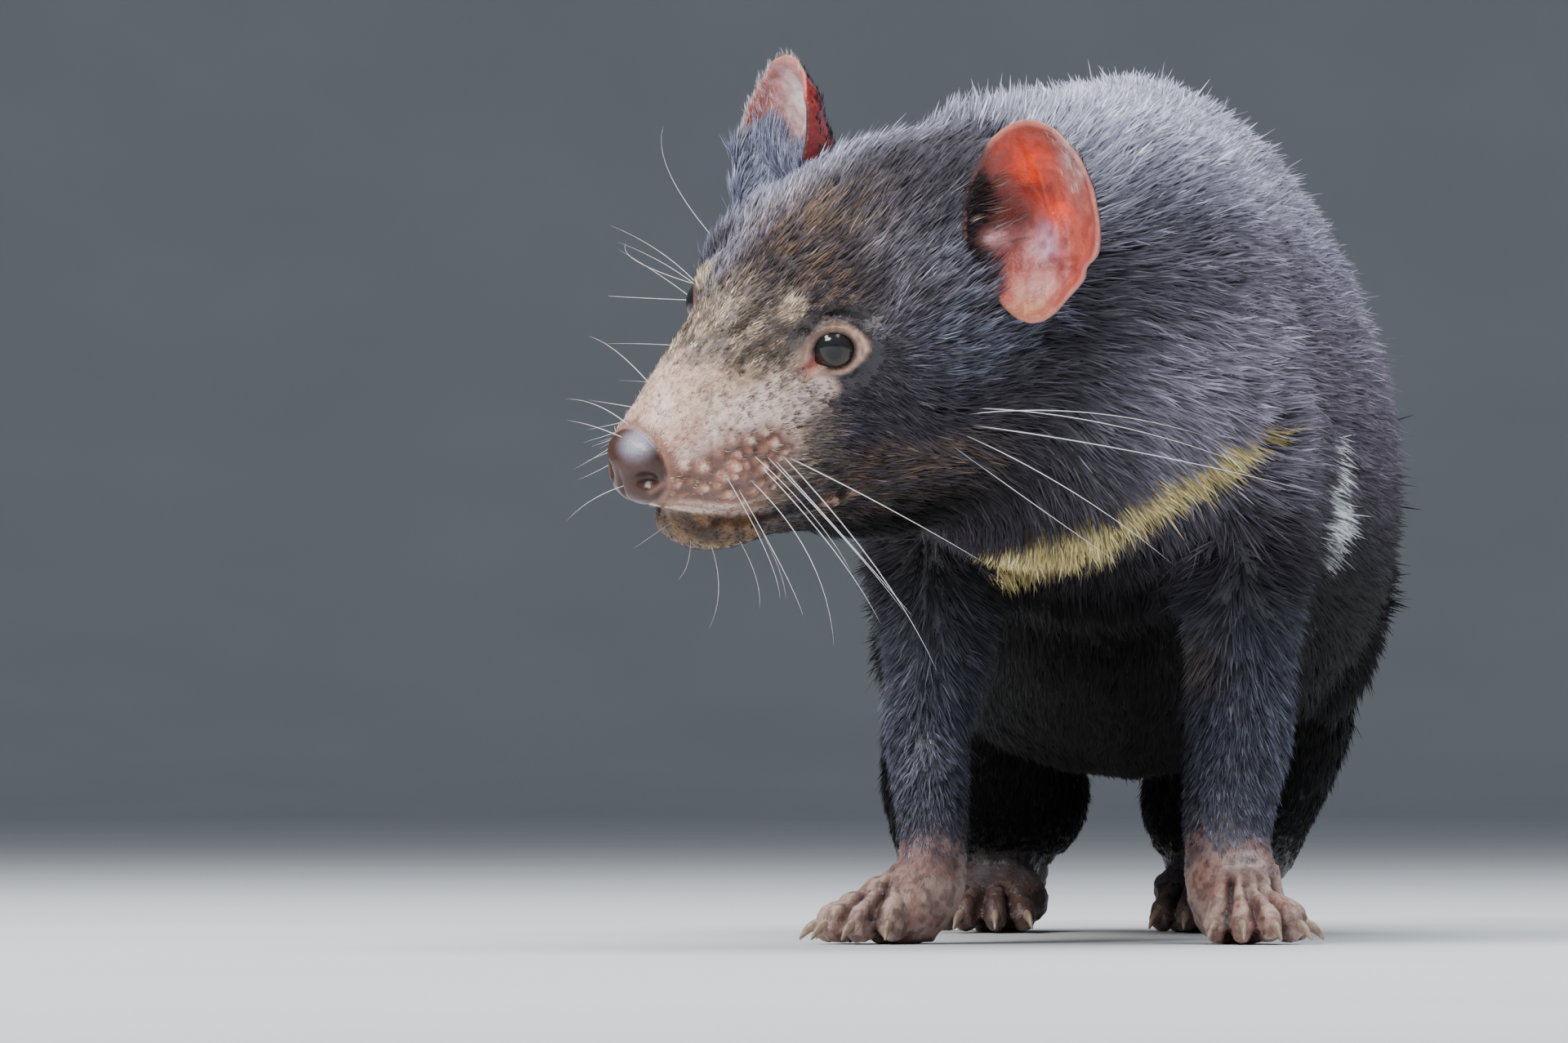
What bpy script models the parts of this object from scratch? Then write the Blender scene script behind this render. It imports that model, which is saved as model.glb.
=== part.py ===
"""A life-size Tasmanian devil that stands on four feet and looks to its right.

Metres, +Z up. The animal faces -Y, so its left side is at +X. The solids are its outline to the
tips of the coat: the flesh is modelled whole, smoothed, and parted into named pieces.
"""

import math

import bpy
import bmesh
import numpy as np
from mathutils import Matrix, Vector

MM = 0.001
GAP = 0.3 * MM

# Body
BACK_HEIGHT = 0.2755
BELLY_HEIGHT = 0.050
TRUNK_HALF_WIDTH = 0.0868

# Head, whose own axes are left, forward and up, from the point midway between the ears' roots
HEAD_AT = Vector((-0.0512, -0.1040, 0.2220))
HEAD_TURN = math.radians(49)
HEAD_BOW = math.radians(24)
HEAD_TILT = math.radians(17)

HEAD_CUT_WAY = Vector((-0.75, -0.65, 0.10))

EYE_RADIUS = 7.9 * MM
EYE_PLACE = Vector((26.8, 54.2, -17.4)) * MM
EYE_LOOK = Vector((0.72, 0.66, 0.22)).normalized()
LID_THICK = 1.9 * MM
EYE_OPEN_HALF_WIDTH = math.radians(48)
EYE_OPEN_HALF_HEIGHT = math.radians(41)

EAR_MIDDLES = {1: Vector((56.5, -6.3, 6.2)) * MM, -1: Vector((51.5, -4.5, 1.6)) * MM}
EAR_LONG_WAY = Vector((-0.187, -0.320, 0.929)).normalized()
EAR_FACE = Vector((0.301, 0.881, 0.364)).normalized()
EAR_HALF_LENGTH = 30 * MM
EAR_HALF_WIDTH = 22.8 * MM
EAR_TOP_NARROWING = 0.12
EAR_CUP = 13 * MM
EAR_THICK = 2.0 * MM

# Feet
FRONT_FEET = {"left": ((0.0460, -0.004), 24), "right": ((-0.0560, -0.010), 50)}
HIND_FEET = {"left": ((0.0250, 0.262), 6), "right": ((-0.0400, 0.258), 10)}
# toes from the inner to the outer: degrees from the foot's own way, and mm from its middle to the tip
FRONT_FAN = (-42, -18, 2, 24, 54)
FRONT_REACH = (20, 26, 28, 26.5, 22)
HIND_FAN = (-32, -11, 11, 32)
HIND_REACH = (28, 31, 31, 28)
TOE_RADIUS = 4.4 * MM
# share of the toe's length, height in mm and thickness, over the knuckle to the tip
TOE_SHAPE = ((0, 11, 1.05), (0.42, 11, 1.08), (0.70, 8.2, 1.02), (0.90, 5.0, 1.04), (1, 4.4, 0.55))
CLAW_LENGTH = 9.5 * MM
CLAW_RADIUS = 1.6 * MM
WRIST_HEIGHT = 0.028
HOCK_HEIGHT = 0.026

# Tail
TAIL_LENGTH = 0.235
TAIL_ROOT_RADIUS = 0.030
TAIL_CUT_AT = (0, 0.346, 0.185)
TAIL_CUT_WAY = (0, 1, 0.12)

# Finishes: colour and roughness
FINISHES = {
    "coat": ((0.030, 0.027, 0.030), 0.75),
    "face": ((0.200, 0.130, 0.110), 0.60),
    "foot": ((0.230, 0.150, 0.130), 0.60),
    "ear": ((0.620, 0.200, 0.170), 0.55),
    "eye": ((0.012, 0.010, 0.010), 0.08),
    "claw": ((0.520, 0.430, 0.340), 0.40),
}

# Mesh work
VOXEL = 1.8 * MM
HEAD_VOXEL = 1.0 * MM
FOOT_VOXEL = 0.9 * MM
FLESH_FACES = 6100
HEAD_FACES = 5300
FOOT_FACES = 480
KEEP_FACE = 0.00002
RING = 28


def clear_scene():
    """Empties the scene."""
    for thing in list(bpy.data.objects):
        bpy.data.objects.remove(thing)


def through(stations, per_span=5):
    """Rows of numbers on a smooth curve through the stations."""
    rows = np.array(stations, float)
    ends = np.vstack([2 * rows[0] - rows[1], rows, 2 * rows[-1] - rows[-2]])
    steps = np.linspace(0, 1, per_span, endpoint=False)[:, None]
    made = []
    for a, b, c, d in zip(ends, ends[1:], ends[2:], ends[3:]):
        curve = 2 * b + (c - a) * steps
        curve = curve + (2 * a - 5 * b + 4 * c - d) * steps**2
        curve = curve + (3 * b - a - 3 * c + d) * steps**3
        made.append(curve / 2)
    return np.vstack(made + [rows[-1:]])


def mesh_object(name, points, faces):
    """A mesh object from points and faces, with its faces pointing out."""
    mesh = bpy.data.meshes.new(name)
    mesh.from_pydata([tuple(p) for p in points], [], faces)
    work = bmesh.new()
    work.from_mesh(mesh)
    bmesh.ops.recalc_face_normals(work, faces=work.faces)
    work.to_mesh(mesh)
    work.free()
    made = bpy.data.objects.new(name, mesh)
    bpy.context.scene.collection.objects.link(made)
    return made


def skin_rings(name, rings):
    """Closes a tube of rings with a point at each end."""
    around = len(rings[0])
    points = [p for ring in rings for p in ring]
    points += [np.mean(rings[0], axis=0), np.mean(rings[-1], axis=0)]
    first, last = len(points) - 2, len(points) - 1
    top = (len(rings) - 1) * around
    faces = []
    for i in range(around):
        j = (i + 1) % around
        faces += [(first, j, i), (last, top + i, top + j)]
        for row in range(0, top, around):
            faces.append((row + i, row + j, row + around + j, row + around + i))
    return mesh_object(name, points, faces)


def loft(name, stations, side=(1, 0, 0), around=RING, per_span=5, grow=0.0):
    """A closed tube through stations of x, y, z, half width, half depth and lean.

    A lean above 0 makes a section wider below its middle.
    """
    rows = through(stations, per_span)
    centres = rows[:, :3]
    along = np.gradient(centres, axis=0)
    along /= np.linalg.norm(along, axis=1)[:, None]
    turns = np.linspace(0, 2 * math.pi, around, endpoint=False)
    rings = []
    before = np.array([0, -0.2, 1])
    for centre, way, (wide, deep, lean) in zip(centres, along, rows[:, 3:6]):
        across = np.array(side, float) - way * np.dot(side, way)
        across /= np.linalg.norm(across)
        up = np.cross(across, way)
        up *= 1 if up @ before >= 0 else -1
        before = up
        spread = np.cos(turns) * (1 - lean * np.sin(turns)) * (wide + grow)
        rise = np.sin(turns) * (deep + grow)
        rings.append(centre + spread[:, None] * across + rise[:, None] * up)
    return skin_rings(name, rings)


def ball(name, centre, radii, turn=None, grow=0.0, rings=16):
    """An ellipsoid."""
    work = bmesh.new()
    bmesh.ops.create_uvsphere(work, u_segments=rings + 8, v_segments=rings, radius=1)
    size = Matrix.Diagonal((*[r + grow for r in radii], 1))
    place = Matrix.Translation(centre) @ (turn or Matrix.Identity(4)) @ size
    bmesh.ops.transform(work, matrix=place, verts=work.verts)
    mesh = bpy.data.meshes.new(name)
    work.to_mesh(mesh)
    work.free()
    made = bpy.data.objects.new(name, mesh)
    bpy.context.scene.collection.objects.link(made)
    return made


def head_matrix():
    """From the head's own left, forward and up to the animal's frame."""
    forward = Vector((-math.sin(HEAD_TURN), -math.cos(HEAD_TURN), 0))
    left = Vector((math.cos(HEAD_TURN), -math.sin(HEAD_TURN), 0))
    bowed = math.cos(HEAD_BOW) * forward - math.sin(HEAD_BOW) * Vector((0, 0, 1))
    up = math.cos(HEAD_BOW) * Vector((0, 0, 1)) + math.sin(HEAD_BOW) * forward
    leaning = math.cos(HEAD_TILT) * left - math.sin(HEAD_TILT) * up
    up = math.cos(HEAD_TILT) * up + math.sin(HEAD_TILT) * left
    turn = Matrix((leaning, bowed, up)).transposed()
    return Matrix.Translation(HEAD_AT) @ turn.to_4x4()


def set_in_head(form):
    """Moves a form from the head's own axes to the animal's frame.

    Left, forward and up make a left-handed set, so the faces are turned over.
    """
    form.data.transform(head_matrix())
    form.data.flip_normals()
    return form


def mirrored(point, side):
    """A point of the left side, or the same on the right where side is -1."""
    return Vector((point[0] * side, point[1], point[2]))


def in_head(rows):
    """Stations of forward, half width, top and bottom, in mm, as stations in the head's frame."""
    made = []
    for forward, wide, top, bottom, lean in rows:
        made.append((0, forward, (top + bottom) / 2, wide, (top - bottom) / 2, lean))
    return np.array(made) * np.array([MM, MM, MM, MM, MM, 1])


def head_forms():
    """The skull with its muzzle, the lower jaw, the cheeks, the whisker pads and the nose pad."""
    skull = in_head(
        [
            (-44, 40, 2, -50, 0),
            (-26, 51, 13, -62, 0.04),
            (0, 55, 18.5, -68, 0.12),
            (22, 52, 17.5, -68, 0.20),
            (42, 43.5, 12.5, -66, 0.26),
            (58, 34, 5, -64, 0.28),
            (72, 28, -4, -62, 0.26),
            (86, 24, -12.5, -60, 0.22),
            (98, 20, -19.5, -58, 0.18),
            (108, 16.5, -24.5, -55, 0.10),
            (115, 12.5, -28, -50, 0),
            (119, 6, -32, -43, 0),
        ]
    )
    jaw = in_head(
        [
            (-24, 36, -30, -88, 0),
            (0, 42, -32, -99, 0),
            (20, 42, -34, -99, 0),
            (40, 36, -38, -93.5, 0),
            (58, 28, -44, -83.5, 0),
            (76, 22, -50, -77, 0),
            (90, 18, -54, -75.5, 0),
            (100, 13.5, -56, -72, 0),
            (105.5, 6, -58, -66, 0),
        ]
    )
    made = [loft("skull", skull), loft("jaw", jaw)]
    for side in (1, -1):
        cheek = mirrored(Vector((34, 18, -30)) * MM, side)
        pad = mirrored(Vector((13.5, 88, -46)) * MM, side)
        brow = mirrored(Vector((18.5, 54, -7)) * MM, side)
        root = mirrored(Vector((39, -13, -9)) * MM, side)
        made.append(ball("cheek", cheek, (25 * MM, 34 * MM, 33 * MM)))
        made.append(ball("pad", pad, (12.5 * MM, 19 * MM, 12.5 * MM)))
        made.append(ball("brow", brow, (10 * MM, 14 * MM, 8.5 * MM)))
        made.append(ball("root", root, (11.5 * MM, 12 * MM, 14 * MM)))
    made.append(ball("nose", Vector((0, 110, -37)) * MM, (13.5 * MM, 11 * MM, 10.5 * MM)))
    return [set_in_head(form) for form in made]


def trunk_forms():
    """The trunk from breast to rump, the neck that bends to the right, and the tail."""
    rise = BACK_HEIGHT - BELLY_HEIGHT
    middle = (BACK_HEIGHT + BELLY_HEIGHT) / 2
    wide = TRUNK_HALF_WIDTH
    trunk = [
        (0.000, -0.052, 0.150, 0.026, 0.028, 0.0),
        (0.000, -0.034, 0.160, 0.049, 0.053, 0.0),
        (0.000, 0.000, 0.173, 0.061, 0.075, 0.04),
        (0.002, 0.050, 0.179, 0.80 * wide, 0.38 * rise, 0.10),
        (0.004, 0.105, middle + 0.010, 0.91 * wide, 0.435 * rise, 0.15),
        (0.005, 0.165, middle + 0.005, 0.98 * wide, 0.485 * rise, 0.18),
        (0.005, 0.220, middle, 1.00 * wide, 0.50 * rise, 0.18),
        (0.004, 0.270, middle + 0.001, 0.94 * wide, 0.455 * rise, 0.15),
        (0.002, 0.308, middle + 0.006, 0.77 * wide, 0.35 * rise, 0.08),
        (0.001, 0.334, middle + 0.010, 0.50 * wide, 0.22 * rise, 0.0),
        (0.000, 0.346, middle + 0.012, 0.20 * wide, 0.09 * rise, 0.0),
    ]
    neck = [
        (0.002, 0.060, 0.190, 0.067, 0.071, 0.0),
        (-0.002, 0.010, 0.189, 0.0635, 0.073, 0.0),
        (-0.012, -0.040, 0.186, 0.058, 0.073, 0.0),
        (-0.032, -0.078, 0.188, 0.0535, 0.067, 0.0),
        (-0.049, -0.100, 0.192, 0.040, 0.048, 0.0),
    ]
    bend = [(0.00, 0.00), (0.17, -0.02), (0.36, -0.09), (0.56, -0.20), (0.76, -0.31)]
    bend += [(0.92, -0.39), (1.0, -0.42)]
    taper = [1.0, 0.90, 0.78, 0.64, 0.48, 0.30, 0.12]
    tail = []
    for (back, down), share in zip(bend, taper):
        y, z = 0.322 + back * TAIL_LENGTH, 0.188 + down * TAIL_LENGTH
        radius = TAIL_ROOT_RADIUS * share
        tail.append((0.12 * back * TAIL_LENGTH, y, z, radius, radius, 0))
    return [loft("trunk", trunk), loft("neck", neck), loft("tail", tail, per_span=6)]


def foreleg_forms(name, side, foot):
    """The shoulder, arm and forearm down to the wrist."""
    x, y = foot
    stout, out, inset = (1.08, 0.001, 0.0) if side > 0 else (0.85, 0.001, 0.0065)
    wrist = x + inset
    leg = [
        (side * 0.034, 0.040, 0.196, 0.022, 0.030, 0.0),
        (side * 0.042 + out, 0.024, 0.160, 0.0265, 0.036, 0.0),
        (0.15 * x + side * 0.039 + out, 0.016, 0.122, 0.0235, 0.033, 0.0),
        (0.5 * wrist + side * 0.023 + out, 0.018, 0.090, 0.0176, 0.0255, 0.0),
        (0.9 * wrist + side * 0.005, 0.012, 0.064, stout * 0.0158, 0.0190, 0.0),
        (wrist - side * 0.002, y + 0.010, 0.046, stout * 0.0138, 0.0150, 0.0),
        (wrist - side * 0.003, y + 0.005, 0.030, stout * 0.0130, 0.0132, 0.0),
        (wrist - side * 0.001, y, 0.017, stout * 0.0140, 0.0130, 0.0),
        (x, y - 0.002, 0.008, 0.0125, 0.0120, 0.0),
    ]
    return [loft(name + "_arm", leg)]


def hindleg_forms(name, side, foot):
    """The thigh, the shank and the hock, down to the heel."""
    x, y = foot
    thigh = [
        (0.002 + side * 0.038, 0.284, 0.186, 0.024, 0.032, 0.0),
        (0.005 + side * 0.053, 0.268, 0.154, 0.030, 0.048, 0.0),
        (0.005 + side * 0.058, 0.246, 0.120, 0.028, 0.045, 0.0),
        (0.002 + side * 0.060, 0.228, 0.088, 0.022, 0.032, 0.0),
        (side * 0.060, 0.224, 0.070, 0.012, 0.018, 0.0),
    ]
    stout = 1.0 if side > 0 else 1.15
    shank = [
        (0.002 + side * 0.054, 0.232, 0.102, 0.026, 0.028, 0.0),
        (side * 0.048, 0.248, 0.074, 0.0300, 0.029, 0.0),
        (0.6 * x + side * 0.021, 0.272, 0.048, stout * 0.0305, 0.0250, 0.0),
        (x + side * 0.008, 0.292, 0.028, stout * 0.0245, 0.0180, 0.0),
        (x + side * 0.003, 0.299, 0.014, stout * 0.0165, 0.0120, 0.0),
        (x + side * 0.002, 0.300, 0.008, 0.0105, 0.0080, 0.0),
    ]
    return [loft(name + "_thigh", thigh), loft(name + "_shank", shank)]


def toe_ways(fan, turn, side):
    """The directions on the ground that the toes of a foot point in."""
    ways = []
    for spread in fan:
        angle = side * math.radians(turn + spread)
        ways.append(Vector((math.sin(angle), -math.cos(angle), 0)))
    return ways


def toe_stations(foot, way, reach):
    """A toe from the middle of the foot over its knuckle to its tip."""
    start = 5
    middle = Vector((*foot, 0))
    made = []
    for share, height, size in TOE_SHAPE:
        place = middle + way * (start + (reach - start) * share) * MM
        radius = TOE_RADIUS * size
        made.append((place.x, place.y, height * MM, radius, radius, 0))
    return made


def toe_pads(foot, way, reach):
    """The round pad under a toe's tip."""
    place = Vector((*foot, 0)) + way * (reach - 5.5) * MM + Vector((0, 0, 3.2)) * MM
    return ball("pad", place, (3.9 * MM, 3.9 * MM, 3.4 * MM), rings=8)


def claw_stations(foot, way, reach):
    """A claw from inside the toe's tip, over and down to its point."""
    middle = Vector((*foot, 0))
    made = []
    for share, height, size in ((0, 5.6, 1), (0.4, 6.2, 1), (0.7, 4.9, 0.72), (1, 1.4, 0.12)):
        place = middle + way * (reach * MM - 4.0 * MM + CLAW_LENGTH * share)
        made.append((place.x, place.y, height * MM, CLAW_RADIUS * size, 1.35 * CLAW_RADIUS * size, 0))
    return made


def sole_form(name, side, foot, turn, hind):
    """The palm of a front foot, or the long sole of a hind foot."""
    way = toe_ways((0,), turn, side)[0]
    turned = Matrix.Rotation(math.atan2(way.x, -way.y), 4, "Z")
    middle = Vector((*foot, 0))
    if not hind:
        palm = middle + way * 2 * MM + Vector((0, 0, 10 * MM))
        return ball(name + "_palm", palm, Vector((15, 14, 11.5)) * MM, turned)
    sole = [
        (*(middle + Vector((side * 3, 46, 9)) * MM), 0.0105, 0.0105, 0),
        (*(middle + Vector((side * 2, 30, 10.5)) * MM), 0.0125, 0.0125, 0),
        (*(middle + Vector((0, 10, 11.5)) * MM), 0.0150, 0.0130, 0),
        (*(middle - way * 4 * MM + Vector((0, 0, 10.5)) * MM), 0.0160, 0.0120, 0),
        (*(middle + way * 9 * MM + Vector((0, 0, 8)) * MM), 0.0120, 0.0080, 0),
    ]
    return loft(name + "_sole", sole)


def toe_forms(name, side, foot, turn, hind):
    """The toes of one foot with their pads."""
    fan, reach = (HIND_FAN, HIND_REACH) if hind else (FRONT_FAN, FRONT_REACH)
    made = []
    for toe, length in zip(toe_ways(fan, turn, side), reach):
        form = toe_stations(foot, toe, length)
        made.append(loft(name + "_toe", form, side=(-toe.y, toe.x, 0), around=16))
        made.append(toe_pads(foot, toe, length))
    return made


def foot_object(leg, name, side, foot, turn, hind):
    """Parts the foot from its leg and shapes its toes on a finer mesh."""
    height = HOCK_HEIGHT if hind else WRIST_HEIGHT
    up = Vector((0, 0, 1))
    paw = copied(name + "_paw", leg)
    sliced(paw, (0, 0, height + 4 * MM), up)
    forms = [largest(paw)] + toe_forms(name, side, foot, turn, hind)
    paw = smoothed(joined(name + "_paw", forms), FOOT_VOXEL, 3)
    thinned(paw, FOOT_FACES)
    sliced(paw, (0, 0, height - GAP / 2), up)
    sliced(paw, (0, 0, 0), -up)
    sliced(leg, (0, 0, height + GAP / 2), -up)
    for cutter in claw_objects("socket", side, foot, turn, hind, grow=GAP):
        boolean(paw, cutter, "DIFFERENCE")
    return largest(paw)


def claw_objects(name, side, foot, turn, hind, grow=0.0):
    """The claws of one foot, or a little fatter as cutters for their sockets."""
    fan, reach = (HIND_FAN, HIND_REACH) if hind else (FRONT_FAN, FRONT_REACH)
    made = []
    for number, (toe, length) in enumerate(zip(toe_ways(fan, turn, side), reach)):
        stations = claw_stations(foot, toe, length)
        if grow:
            first = np.array(stations[0])
            first[:2] -= np.array(toe[:2]) * grow
            stations[0] = tuple(first)
        label = f"{name}_claw_{number + 1}"
        made.append(loft(label, stations, side=(-toe.y, toe.x, 0), around=6, per_span=1, grow=grow))
    return made


def applied(thing):
    """Gives the object the mesh that its modifiers make."""
    graph = bpy.context.evaluated_depsgraph_get()
    mesh = bpy.data.meshes.new_from_object(thing.evaluated_get(graph))
    thing.modifiers.clear()
    thing.data = mesh
    return thing


def joined(name, forms):
    """One object that holds the meshes of all the forms."""
    work = bmesh.new()
    for form in forms:
        work.from_mesh(form.data)
        bpy.data.objects.remove(form)
    mesh = bpy.data.meshes.new(name)
    work.to_mesh(mesh)
    work.free()
    made = bpy.data.objects.new(name, mesh)
    bpy.context.scene.collection.objects.link(made)
    return made


def smoothed(made, voxel, rounds):
    """The object's surface made anew at a voxel's size, and smoothed."""
    remesh = made.modifiers.new("fuse", "REMESH")
    remesh.mode = "VOXEL"
    remesh.voxel_size = voxel
    smooth = made.modifiers.new("blend", "SMOOTH")
    smooth.factor = 0.5
    smooth.iterations = rounds
    return applied(made)


def fused(name, forms, voxel, rounds):
    """The forms as one smooth surface."""
    return smoothed(joined(name, forms), voxel, rounds)


def points_of(thing):
    """The object's points and their normals."""
    count = len(thing.data.vertices)
    points, ways = np.empty(count * 3), np.empty(count * 3)
    thing.data.vertices.foreach_get("co", points)
    thing.data.vertices.foreach_get("normal", ways)
    return points.reshape(-1, 3), ways.reshape(-1, 3)


def eased(values):
    """0 to 1 with soft ends."""
    share = np.clip(values, 0, 1)
    return share * share * (3 - 2 * share)


def eye_axes(side):
    """The eye's own axes: across to the back, up, and out."""
    out = np.array(mirrored(EYE_LOOK, side))
    up = np.array([0, 0, 1]) - out * out[2]
    up /= np.linalg.norm(up)
    back = np.cross(up, out) * side
    return back, up, out


def open_lids(points, side):
    """Opens the dome of lid over the eyeball."""
    centre = np.array(mirrored(EYE_PLACE, side))
    back, up, out = eye_axes(side)
    away = points - centre
    reach = np.linalg.norm(away, axis=1)
    near = (reach < 12 * MM) & (away @ out > 0)
    reach = reach[near]
    local = away[near] / reach[:, None]
    off = np.arccos(np.clip(local @ out, -1, 1))
    turn = np.arctan2(local @ up, local @ back)
    edge = 1 / np.hypot(np.cos(turn) / EYE_OPEN_HALF_WIDTH, np.sin(turn) / EYE_OPEN_HALF_HEIGHT)
    inside = 1 - eased((off / edge - 0.92) / 0.14)
    radius = reach * (1 - inside) + (EYE_RADIUS - 1.6 * MM) * inside
    points[near] = centre + local * radius[:, None]


def distance_to_path(points, path):
    """How far each point lies from a path of points."""
    least = np.full(len(points), np.inf)
    for a, b in zip(path, path[1:]):
        span = b - a
        share = np.clip((points - a) @ span / (span @ span), 0, 1)
        least = np.minimum(least, np.linalg.norm(points - a - share[:, None] * span, axis=1))
    return least


def mouth_path(side):
    """The line of the lips from under the nose to the mouth's corner."""
    line = [(0, 114, -51), (8, 111, -53), (12.5, 102, -56.5), (17, 91, -60.5), (21, 78, -63)]
    line += [(25, 66, -64), (31, 54, -62)]
    return [np.array(mirrored(Vector(p) * MM, side)) for p in line]


def pressed(points, ways, where, depth, size):
    """Moves the points near a place inwards, or outwards where the depth is below 0."""
    off = np.linalg.norm((points - np.array(where)) / np.array(size), axis=1)
    points -= ways * (depth * np.exp(-(off**2)))[:, None]


def in_own_axes(head, work):
    """Does some work on the head's points and their outward ways, in the head's own axes."""
    place = head_matrix()
    head.data.transform(place.inverted())
    points, ways = points_of(head)
    work(points, -ways)
    head.data.vertices.foreach_set("co", points.ravel())
    head.data.transform(place)
    head.data.update()


def hollow_eyes(points, ways):
    """Presses in a hollow around each eye and before it."""
    for side in (1, -1):
        for where, depth, size in (((29, 60, -15), 1.8, (13, 15, 13)), ((24, 69, -10), 1.6, (8, 8, 7))):
            middle = mirrored(Vector(where) * MM, side)
            pressed(points, ways, middle, depth * MM, Vector(size) * MM)


def shape_face(points, ways):
    """Opens the lids and shapes the mouth's line, the lips and the nostrils."""
    ahead = points[:, 1] > 30 * MM
    for side in (1, -1):
        off = distance_to_path(points, mouth_path(side))
        points -= ways * (ahead * 3.0 * MM * np.exp(-((off / (2.0 * MM)) ** 2)))[:, None]
        nostril = mirrored(Vector((8.6, 118.0, -39.5)) * MM, side)
        pressed(points, ways, nostril, 4.0 * MM, Vector((3.2, 3.4, 2.3)) * MM)
        open_lids(points, side)


def domed(head):
    """Adds the lids' domes over the eyeballs."""
    forms = [head]
    for side in (1, -1):
        centre = head_matrix() @ mirrored(EYE_PLACE, side)
        forms.append(ball("lids", centre, (EYE_RADIUS + LID_THICK,) * 3, rings=24))
    return joined("head", forms)


def face_share(head):
    """0 at the eyes, the mouth and the nose, where triangles are kept, and 1 far from them."""
    place = head_matrix().inverted()
    local = points_of(head)[0] @ np.array(place.to_3x3()).T + np.array(place.translation)
    least = np.full(len(local), np.inf)
    for side in (1, -1):
        eye = np.array(mirrored(EYE_PLACE, side))
        least = np.minimum(least, np.linalg.norm(local - eye, axis=1) - 11 * MM)
        least = np.minimum(least, distance_to_path(local, mouth_path(side)) - 1 * MM)
    least = np.minimum(least, np.linalg.norm(local - np.array((0, 0.118, -0.040)), axis=1) - 7 * MM)
    return eased(least / (8 * MM))


def thinned(thing, faces, spare=None):
    """The same surface in about so many triangles, with most kept where the spare share is 0."""
    fewer = thing.modifiers.new("fewer", "DECIMATE")
    fewer.ratio = faces / (2 * len(thing.data.polygons))
    fewer.use_collapse_triangulate = True
    if spare is not None:
        group = thing.vertex_groups.new(name="spare")
        for number, share in enumerate(spare):
            group.add([number], float(share), "REPLACE")
        fewer.vertex_group = "spare"
        fewer.vertex_group_factor = KEEP_FACE
    applied(thing)
    thing.vertex_groups.clear()
    return thing


def boolean(thing, other, operation):
    """Cuts or keeps a shape with another one, which is then removed."""
    cut = thing.modifiers.new("cut", "BOOLEAN")
    cut.operation = operation
    cut.object = other
    applied(thing)
    bpy.data.objects.remove(other)
    return thing


def copied(name, thing):
    """A copy of an object with its own mesh."""
    made = bpy.data.objects.new(name, thing.data.copy())
    bpy.context.scene.collection.objects.link(made)
    return made


def largest(thing):
    """Keeps the largest closed surface."""
    work = bmesh.new()
    work.from_mesh(thing.data)
    left = set(work.verts)
    groups = []
    while left:
        seed = left.pop()
        group, front = {seed}, [seed]
        while front:
            for edge in front.pop().link_edges:
                for vert in edge.verts:
                    if vert in left:
                        left.remove(vert)
                        group.add(vert)
                        front.append(vert)
        groups.append(group)
    groups.sort(key=len)
    spare = [v for group in groups[:-1] for v in group]
    bmesh.ops.delete(work, geom=spare, context="VERTS")
    work.to_mesh(thing.data)
    work.free()
    return thing


def sliced(thing, point, normal):
    """Keeps what lies behind a plane, and closes the cut."""
    work = bmesh.new()
    work.from_mesh(thing.data)
    every = list(work.verts) + list(work.edges) + list(work.faces)
    found = bmesh.ops.bisect_plane(work, geom=every, plane_co=point, plane_no=normal, clear_outer=True)
    rim = [e for e in found["geom_cut"] if isinstance(e, bmesh.types.BMEdge)]
    bmesh.ops.holes_fill(work, edges=rim, sides=0)
    bmesh.ops.triangulate(work, faces=[f for f in work.faces if len(f.verts) > 3])
    work.to_mesh(thing.data)
    work.free()
    return thing


def parted(thing, name, point, normal):
    """Splits off what lies past a plane as a new object, with the gap between them."""
    point, normal = Vector(point), Vector(normal).normalized()
    past = copied(name, thing)
    sliced(past, point + normal * GAP / 2, -normal)
    sliced(thing, point - normal * GAP / 2, normal)
    return largest(past)


def taken(whole, name, cutter):
    """Takes out of the whole what lies inside a cutter, with the gap between them."""
    inside = copied(name, whole)
    grown = copied("grown", cutter)
    points, ways = points_of(grown)
    grown.data.vertices.foreach_set("co", (points + ways * GAP).ravel())
    boolean(inside, cutter, "INTERSECT")
    boolean(whole, grown, "DIFFERENCE")
    return largest(inside)


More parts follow.
